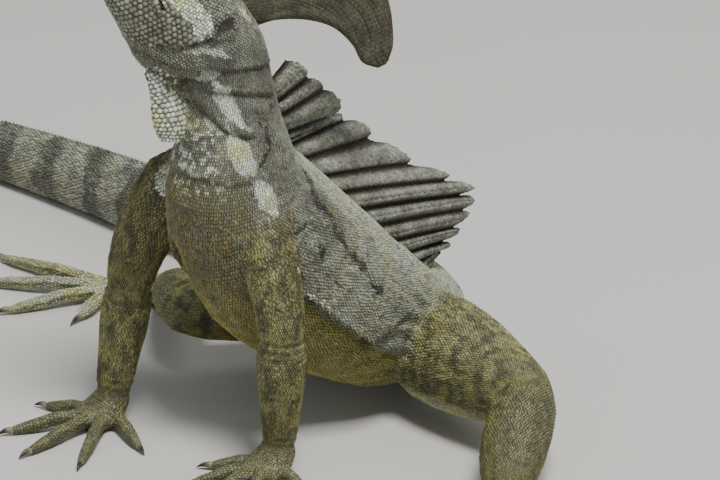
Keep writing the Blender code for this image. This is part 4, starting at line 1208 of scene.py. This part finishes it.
# The eyes: wet balls with a round pupil in an amber iris, under a clear bulging front. The lids
# are thin sleeves of hide that fit closely round them, edged by a bead and tiny scales.
iris = Finish("eye_of_amber", roughness=0.08, Coat_Weight=1.0, Coat_Roughness=0.02, IOR=1.38)
across, _, _ = iris.painted("eye")
threads = iris.noise(0.0012, 4)
pupil = 0.078
amber = iris.between(threads, 0.35, 0.65, "7d420f", "cf9434")
amber = iris.mix(iris.ramp(across, (pupil + 0.008, 0.7), (0.110, 0)), amber, "e0b060")
amber = iris.mix(iris.ramp(across, (pupil, 1), (pupil + 0.008, 0)), amber, "040302")
amber = iris.between(across, 0.235, 0.27, amber, "1c120a")
iris.set(Base_Color=amber)
iris.bump(threads, 0.08, 0.0002)
eye_size, eye_depth, front_bulge = 4.7, 1.2, 0.28


def dome(way, first, second, turn, tilt):
    """Directions tilted away from a way, turned from its first side to its second."""
    around = first * np.cos(turn)[:, None] + second * np.sin(turn)[:, None]
    return way * np.cos(tilt)[..., None] + around * np.sin(tilt)[..., None]


def opening(turn):
    """The tilt of the lids' edge. The opening is an ellipse, longer than high."""
    half_long, half_high = 0.86, 0.60
    return np.arctan(np.hypot(half_long * np.cos(turn), half_high * np.sin(turn)))


for label, sign in (("left", 1), ("right", -1)):
    middle = cheek(*eye_spot, sign, -eye_depth)
    look = unit(head_left * sign + head_ahead * 0.16 + head_up * 0.05)
    first = unit(np.cross(head_up, look))
    second = np.cross(look, first)
    tilt = np.radians(np.concatenate((np.arange(0, 60, 1.5), np.arange(60, 181, 6))))
    turn = circle(64)
    bulge = eye_size + front_bulge * (1 - smooth(18, 44, np.degrees(tilt)))
    points = middle + dome(look, first, second, turn, tilt[:, None]) * bulge[:, None, None]
    ball = make_mesh("eyeball_" + label, points.reshape(-1, 3), ring_faces(len(tilt), len(turn)), iris)
    eye_mask = np.stack(np.broadcast_arrays(tilt[:, None] / math.pi, turn / math.tau, 0.0), -1)
    carry(ball, "eye", eye_mask.reshape(-1, 3))
    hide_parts("eye_" + label)
    # The lids' sleeve runs from the opening out to the socket.
    turn = circle(72)
    share = np.array((0.0, 0.0, 0.03, 0.09, 0.2, 0.4, 0.65, 1.0))
    gap = np.array((0.12, 0.55, 0.78, 0.72, 0.5, 0.55, 0.6, 0.1))
    sleeve = 0.95
    tilt = opening(turn) + share[:, None] * sleeve
    way = dome(head_left * sign, head_ahead, head_up, turn, tilt)
    points = middle + (eye_size + gap)[:, None, None] * way
    lid = make_mesh("lid_" + label, points.reshape(-1, 3), ring_faces(*tilt.shape, sign < 0), hide_skin)
    under = hide_faces[surface.find_nearest(Vector(middle + head_left * sign * 5))[2]][0]
    carry(lid, "marks", np.tile((0, 0.12, 0), (tilt.size, 1)))
    carry(lid, "ground", np.zeros((tilt.size, 3)))
    groups = []
    lid_rows = ((0.10, 0.55), (0.22, 0.7), (0.36, 0.8), (0.52, 0.9), (0.70, 1.0), (0.88, 1.05))
    for row, (step, size) in enumerate(lid_rows):
        count = 26 + row * 5
        turn = (np.arange(count) + 0.5 * (row % 2)) * math.tau / count
        way = dome(head_left * sign, head_ahead, head_up, turn, opening(turn) + step * sleeve)
        groups.append({
            "place": middle + way * (eye_size + 0.58), "normal": way, "lie": np.gradient(way, axis=0),
            "width": np.full(count, size), "length": np.full(count, size * 1.05),
            "under": np.full(count, under), "degrees": np.zeros(count),
            "root": np.stack((turn / math.tau, np.full(count, 0.5)), 1),
        })
    grow("lid_scales_" + label, together(groups), "cobble", 0.28, cover=(1.0, 1.1), unlike=0.05)


# The casque: a thin lobe of skin over gristle that stands on the skull and sweeps back to a
# rounded point. Its scales lie in rows along it, and its upper rim is finely notched.
def sheet(name, grid, side, half, finish):
    """A closed flap of skin from a grid of places in its middle, with half its thickness at each."""
    columns, rows = grid.shape[:2]
    faces_of = [grid + side * half[..., None], grid - side * half[..., None]]
    points = np.concatenate([f.reshape(-1, 3) for f in faces_of])
    ids = np.arange(columns * rows).reshape(columns, rows)
    a, b, c, d = ids[:-1, :-1], ids[:-1, 1:], ids[1:, 1:], ids[1:, :-1]
    top = np.concatenate([np.stack(q, -1).reshape(-1, 3) for q in ((a, b, c), (a, c, d))])
    edge = np.concatenate((ids[:, 0], ids[-1, 1:], ids[-2::-1, -1], ids[0, -2:0:-1]))
    after, other = np.roll(edge, -1), columns * rows
    rim = np.concatenate((
        np.stack((after, edge, edge + other), 1), np.stack((after, edge + other, after + other), 1),
    ))
    made = make_mesh(name, points, np.concatenate((top, top[:, ::-1] + other, rim)), finish)
    # The two faces lie side by side on the map, and the rim is a thin strip along the first.
    u, v = np.meshgrid(np.linspace(0.01, 0.48, columns), np.linspace(0.01, 0.99, rows), indexing="ij")
    spread = np.concatenate([np.stack((u + apart, v), -1).reshape(-1, 2) for apart in (0, 0.51)])
    corners = np.concatenate((top, top[:, ::-1] + other)).ravel()
    strip = 0.003
    rim_spread = spread[rim % other] + (strip * (rim >= other))[..., None]
    layer = made.data.uv_layers.new(name="OFBake", do_init=False)
    flat = np.concatenate((spread[corners].ravel(), rim_spread.ravel()))
    layer.uv.foreach_set("vector", flat.astype(np.float32))
    return made


def travelled(line):
    """How far along a line each of its places is."""
    return np.append(0, np.cumsum(np.linalg.norm(np.diff(line, axis=0), axis=1)))


def taken(values, at):
    """Values of a line read at places counted in its own steps."""
    steps = np.arange(len(values))
    return np.stack([np.interp(at, steps, values[:, c]) for c in range(values.shape[1])], 1)


def roots_on(grid, side, half, width, length, start, end):
    """Roots for scales on both faces of a flap, in rows across it that lie towards its free edge."""
    groups = []
    for sign in (1, -1):
        skin = grid + side * half[..., None] * sign
        run = np.append(0, np.cumsum(np.linalg.norm(np.diff(skin, axis=1), axis=2).mean(0)))
        rows = np.interp(np.arange(run[-1] * start, run[-1] * end, length), run, np.arange(len(run)))
        parts = []
        for k, row in enumerate(rows):
            j = min(int(row), skin.shape[1] - 2)
            f = row - j
            line = skin[:, j] * (1 - f) + skin[:, j + 1] * f
            lie = unit(skin[:, j + 1] - skin[:, j])
            run = travelled(line)
            spots = np.arange(0.3 + 0.5 * (k % 2), run[-1] / width - 0.2) * width
            at = np.interp(spots, run, np.arange(len(run)))
            lie_there = taken(lie, at)
            normal = unit(np.cross(taken(np.gradient(line, axis=0), at), lie_there))
            normal *= np.sign((normal * taken(side[:, j], at)).sum(1, keepdims=True)) * sign
            mask = np.stack((at / (len(run) - 1), np.full(len(at), row / (skin.shape[1] - 1))), 1)
            parts.append((taken(line, at), normal, lie_there, mask))
        place, normal, lie, mask = (np.concatenate([p[k] for p in parts]) for k in range(4))
        count = len(place)
        groups.append({
            "place": place, "normal": normal, "lie": lie, "width": np.full(count, width),
            "length": np.full(count, length), "under": np.zeros(count, int), "degrees": np.zeros(count),
            "root": mask.copy(), "spot": mask,
        })
    return together(groups)


def dry_finish(name, ridge, between, fold_shade):
    """Dry skin of crest and casque: pale on the ridges, with brown and a dark red painted shade down in the
    folds.
    """
    finish = Finish(name, roughness=0.7, Specular_IOR_Level=0.35)
    high, _, chance = finish.painted("folds")
    broad, grain = finish.noise(0.006), finish.noise(0.0009, 2)
    top = finish.between(broad, 0.35, 0.65, ridge, between)
    # Painted shade: where the folds' mask is low the skin goes to its darkest colour.
    colour = finish.mix(finish.ramp(high, (0.1, 1), (0.7, 0)), top, fold_shade)
    finish.shaded(colour, finish.ramp(grain, (0.3, 0.45), (0.7, 1.0)) * (chance * 0.5 + 0.75))
    finish.bump(grain, 0.4, 0.0003)
    return finish


casque_top = (
    (29, 12.5), (23.5, 26), (13.5, 39), (1, 48.6), (-9.5, 52.6), (-19, 52.6), (-27.5, 50.2),
    (-34.5, 46.8), (-40, 43), (-42.6, 38.6),
)
casque_foot = (
    (25, 7), (16, 7), (7, 8), (-1, 11), (-6, 19.6), (-13, 27), (-21, 32), (-30, 33.6), (-37, 32.8),
    (-41.6, 35.2),
)
# Millimetres: the lobe's thickness, how deep its rim is notched, and its wrinkles. Its two flares
# thicken it towards the foot, where it spreads over the skull.
lobe, notch_depth, wrinkled, wide_flare, foot_flare = 2.5, 0.22, 0.30, 3.6, 5
s = np.linspace(0, len(casque_top) - 1, 190)
v = np.linspace(0, 1, 44)
high, low = along(casque_top, s)[:, None], along(casque_foot, s)[:, None]
flat = low + (high - low) * v[:, None]
notch = notch_depth * np.abs(np.sin(s * 22))[:, None] * smooth(0.93, 1, v) * smooth(0.6, 1.4, s)[:, None]
flat = flat + unit(high - low) * notch[..., None]
grid = in_head(flat[..., 0], flat[..., 1])
rim = np.sqrt(np.clip((1 - v) * 9 + 0.05, 0, 1))
rim = rim * np.where(s[:, None] < 3, 1, np.sqrt(np.clip(v * 9 + 0.05, 0, 1)))
flare = wide_flare * np.maximum(0, 1 - s / 5)[:, None] * (1 - v)
flare = flare + foot_flare * np.maximum(0, 1 - s / 3.2)[:, None] * (1 - v) ** 5
wrinkle = wrinkled * np.sin(v * 26 + 2.4 * np.sin(s * 0.9)[:, None]) * v * (1 - v) * 3
half = 0.5 * ((lobe + flare) * rim + wrinkle * rim)
side = np.broadcast_to(head_left, grid.shape)
# The last colour of each dry skin is the painted shade of its folds.
casque_skin = dry_finish("casque_skin", "66634f", "504c3a", "2f2723")
casque = sheet("casque_skin", grid, side, half, casque_skin)
# Painted shade: the folds' mask falls in the wrinkles' troughs, where the lobe darkens.
folds = np.stack(np.broadcast_arrays(0.5 + wrinkle * 0.9, v * np.ones_like(half), 0.5), -1).reshape(-1, 3)
carry(casque, "folds", np.concatenate((folds, folds)))
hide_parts("casque")
casque_roots = roots_on(np.swapaxes(grid, 0, 1), np.swapaxes(side, 0, 1), half.T, 1.35, 1.5, 0.02, 0.985)
inside = casque_roots["spot"][:, 0]
casque_roots = chosen(casque_roots, (inside > 0.03) & (inside < 0.985))


def flap_scales(name, roots, finish, high):
    """Scales of a flap of skin, which carry the flap's own masks instead of the hide's."""
    made = grow(name, roots, "keeled", 0.22, finish=finish, cover=(1.05, 1.25), sunk=0.15)
    count, corners = len(roots["place"]), len(keeled_outline)
    crown = np.tile(np.clip(keeled_outline[:, 2], 0, 1), count)
    chance = np.repeat(random.uniform(size=count), corners)
    # Painted shade: a scale's rim takes a lower share of the mask than its crown, so the rims darken.
    high = np.repeat(np.full(count, high), corners) * (0.55 + 0.45 * crown)
    carry(made, "folds", np.stack((high, crown, chance), 1))


flap_scales("casque_scales", casque_roots, casque_skin, 0.8)

# The back crest: a sail of skin down the middle of the back, folded along its bony rays. It lies
# back over the loin; each ray is a thick rounded rib with a rough and slightly frayed end.
# A row has its place along the back, the sail's length there, and how steeply it rises.
crest = np.array((
    (11.1, 6, 28), (12.0, 16, 28), (12.8, 28, 30), (13.3, 38, 33), (13.7, 49, 35), (14.2, 56, 35),
    (14.7, 52, 37), (15.1, 44, 42), (15.4, 39, 48), (16.7, 33, 80), (17.3, 22, 100), (17.85, 12, 122),
))
ray_count, steps_a_ray, steps_up = 16, 14, 56
# The foot is sunk in the back. The web between two rays is thinner and a little shorter than they
# are. Half thicknesses are those of the web and of a rib's foot, and what a rib loses by its tip.
root_depth, foot_start, rib_width, web_length = 1.6, 3.0, 0.37, 0.885
half_web, half_rib, taper, groove_depth, ringed = 0.35, 2.05, 0.5, 0.22, 0.10
droop, sway = 0.03, 1.1
t = np.linspace(0, ray_count, ray_count * steps_a_ray + 1)
s = crest[0, 0] + (crest[-1, 0] - crest[0, 0]) * t / ray_count
v = np.linspace(0, 1, steps_up)
ray, phase = np.minimum(np.floor(t).astype(int), ray_count - 1), t % 1
ray_draw = random.uniform(-1, 1, (4, ray_count))
long, rise = np.interp(s, crest[:, 0], crest[:, 1]), np.radians(np.interp(s, crest[:, 0], crest[:, 2]))
middle, forward, left, up, size = sections(body, s)
rib = np.sqrt(np.maximum(0, 1 - ((phase - 0.5) / rib_width) ** 2))
groove = hump(phase, 0.5 + 0.1 * ray_draw[3][ray], 0.07) * (ray_draw[0][ray] > -0.3)
double = 1 - groove_depth * groove
root = middle + up * (size[:, 1:2] - root_depth)
way = up * np.sin(rise)[:, None] - forward * np.cos(rise)[:, None]
fray = 0.5 * np.sin(phase * 34 + ray * 2) * (rib > 0.3)
reach = long * (web_length + (1 - web_length) * rib**0.6)
reach = reach * (1 + 0.04 * ray_draw[1][ray] * rib) + fray
grid = root[:, None] + way[:, None] * (foot_start * (1 - v) + reach[:, None] * v)[..., None]
grid = grid - up[:, None] * (droop * long[:, None] * v**2)[..., None]
bend = sway * ray_draw[2][ray][:, None] * rib[:, None] * v**2
bend = bend + sway * (rib[:, None] - 0.5) * np.sin(ray * 2.1)[:, None] * v
grid = grid + left[:, None] * bend[..., None]
end = np.sqrt(np.clip((1 - v) * 14 + 0.04, 0, 1))
thick = (half_rib - taper * v) * (rib * double)[:, None] * smooth(-0.05, 0.25, v + 0.12)
half = (half_web + thick) * end
half = half + ringed * np.sin(v * 90 + 7 * ray[:, None]) * rib[:, None] * end
side = np.broadcast_to(left[:, None], grid.shape)
crest_skin = dry_finish("crest_skin", "a6a898", "7d7d70", "33251f")
sail = sheet("back_crest_skin", grid, side, half, crest_skin)
chance = (ray_draw[1][ray] * 0.4 + 0.5)[:, None]
# Painted shade: the folds' mask is low between the ribs, where the sail darkens in its grooves.
folds = np.stack(np.broadcast_arrays(rib[:, None] * (0.75 + 0.25 * v), v[None], chance), -1).reshape(-1, 3)
carry(sail, "folds", np.concatenate((folds, folds)))
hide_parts("back_crest")
sail_roots = roots_on(grid, side, half, 1.0, 1.25, 0.05, 0.985)
spot = sail_roots["spot"][:, 0] * (len(t) - 1)
# The crest's scales between the ribs take the same painted shade.
flap_scales("crest_scales", sail_roots, crest_skin, 0.15 + 0.85 * np.interp(spot, np.arange(len(t)), rib))


# The ridge: along the middle of neck and tail the crest goes on as one row of upright pointed
# scales of horn, each rooted in the hide.
def evenly(line, s, step):
    """The values of s at equal steps along a line of places."""
    run = travelled(line)
    return np.interp(np.arange(0, run[-1], step), run, s)


shapes["blade"] = (
    np.array(((0, -0.6, -1), (0.22, 0.1, -1), (0, 0.6, -1), (-0.22, 0.1, -1), (0, 0.55, 1.0))),
    np.array(((0, 1, 4), (1, 2, 4), (2, 3, 4), (3, 0, 4))),
)
groups = []
for start, end, step in ((6.2, 10.95, 1.8), (17.9, 19.6, 1.2)):
    s = np.arange(start, end, 0.002)
    at = evenly(shell(body, s, np.full(len(s), math.pi / 2)), s, step)
    place = shell(body, at, np.full(len(at), math.pi / 2))
    lie = -np.gradient(place, axis=0)
    ridge = roots_at(place, lie, step, step)
    ridge["normal"] = sections(body, at)[3]
    ridge["length"] = np.full(len(at), step) * (0.8 + 0.3 * smooth(start, end, at))
    groups.append(ridge)
grow("ridge_scales", together(groups), "blade", 0.95, cover=(1.0, 1.15), sunk=0.3)

# Claws of dark horn, paler at the root, bent down to the floor. Each grows from the end of its
# digit, in a cuff of scales.
horn = Finish("claw_horn", roughness=0.32, Specular_IOR_Level=0.5)
near_tip, _, _ = horn.painted("claw")
streaks = horn.noise(0.0012, 3)
claw_colour = horn.between(near_tip, 0.0, 0.55, "8f8468", "2a1f17")
claw_colour = horn.between(streaks, 0.4, 0.7, claw_colour, "15100c", most=0.4)
horn.set(Base_Color=claw_colour, Roughness=horn.ramp(streaks, (0.3, 0.25), (0.7, 0.45)))
horn.bump(streaks, 0.2, 0.0002)
# A row of the claw is a place along it, its lift and its girth.
claw_shape = np.array((
    (-0.12, 0.0, 0.92), (0, 0.1, 1.0), (0.15, 0.28, 0.95), (0.3, 0.36, 0.84), (0.45, 0.3, 0.72),
    (0.6, 0.14, 0.58), (0.75, -0.12, 0.42), (0.88, -0.42, 0.26), (0.97, -0.66, 0.1),
))
lengths, lifts, girths = claw_shape.T
claw_sides = 12
# Shares of the digit's end: the claw's girth, narrower than high, flatter below, and its tip's drop.
claw_girth, narrowed, flat_below, tip_drop = 0.86, 0.8, 0.7, 0.75
turn = circle(claw_sides)
for kind, table, size in (("hand", fingers, 4.6), ("foot", toes, 5.6)):
    for side_name in ("left", "right"):
        all_points, all_faces, tips = [], [], []
        for digit in table[side_name]:
            rows = np.array(digit_rows(*digit))
            start = rows[-1, :3] + unit(rows[-1, :3] - rows[-2, :3]) * 0.2
            way = unit((rows[-1, :3] - rows[-2, :3]) * (1, 1, 0))
            thick = rows[-1, 3] * claw_girth
            across = np.cross(way, (0, 0, 1))
            middles = start + way * (lengths * size)[:, None] + np.array((0, 0, 1)) * lifts[:, None]
            ring = (
                across * np.cos(turn)[:, None] * narrowed
                + np.array((0, 0, 1)) * (np.sin(turn) * np.where(np.sin(turn) < 0, flat_below, 1))[:, None]
            )
            rings = middles[:, None] + ring * (girths * thick)[:, None, None]
            tip = start + way * size + np.array((0, 0, -tip_drop * thick))
            base = sum(len(p) for p in all_points)
            top = base + rings.shape[0] * claw_sides
            last = np.arange(top - claw_sides, top)
            point = np.full(claw_sides, top)
            all_faces.append(base + ring_faces(len(rings), claw_sides, True))
            all_faces.append(np.stack((point, np.roll(last, -1), last), 1))
            all_points += [rings.reshape(-1, 3), tip[None]]
            tips += [np.repeat(lengths, claw_sides), np.ones(1)]
        points, triangles = np.concatenate(all_points), np.concatenate(all_faces)
        claws = make_mesh(f"claws_{kind}_{side_name}", points, triangles, horn)
        tips = np.concatenate(tips)
        carry(claws, "claw", np.stack((np.clip(tips, 0, 1), tips * 0, tips * 0), 1))
        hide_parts(*[f"claw_{kind}_{side_name}_{k}" for k in range(1, 6)])

# The toe fringes: a row of flat lobed scales on both sides of each hind toe, which widen it as
# the animal runs. Each is rooted in the skin of the toe's edge.
inset, lowered, furthest = 0.8, 0.25, 0.9
groups = []
for side_name in ("left", "right"):
    for digit in toes[side_name]:
        rows = limb_line(digit_rows(*digit))
        s = np.arange(0.5, 4.6, 0.004)
        at = evenly(sections(rows, s)[0], s, 1.25)
        middle, forward, left, up, size = sections(rows, at)
        for sign in (1, -1):
            out = left * sign
            edge_place = middle + out * size[:, :1] * inset - up * size[:, 1:2] * lowered
            fringe = roots_at(edge_place, out + forward * 0.35, 1.3, 1.9)
            fringe["normal"] = unit(up + 0.15 * out)
            moved = np.linalg.norm(fringe["place"] - edge_place, axis=1)
            groups.append(chosen(fringe, moved < furthest))
grow("toe_fringes", together(groups), "keeled", 0.18, cover=(1.0, 1.25), sunk=0.12)
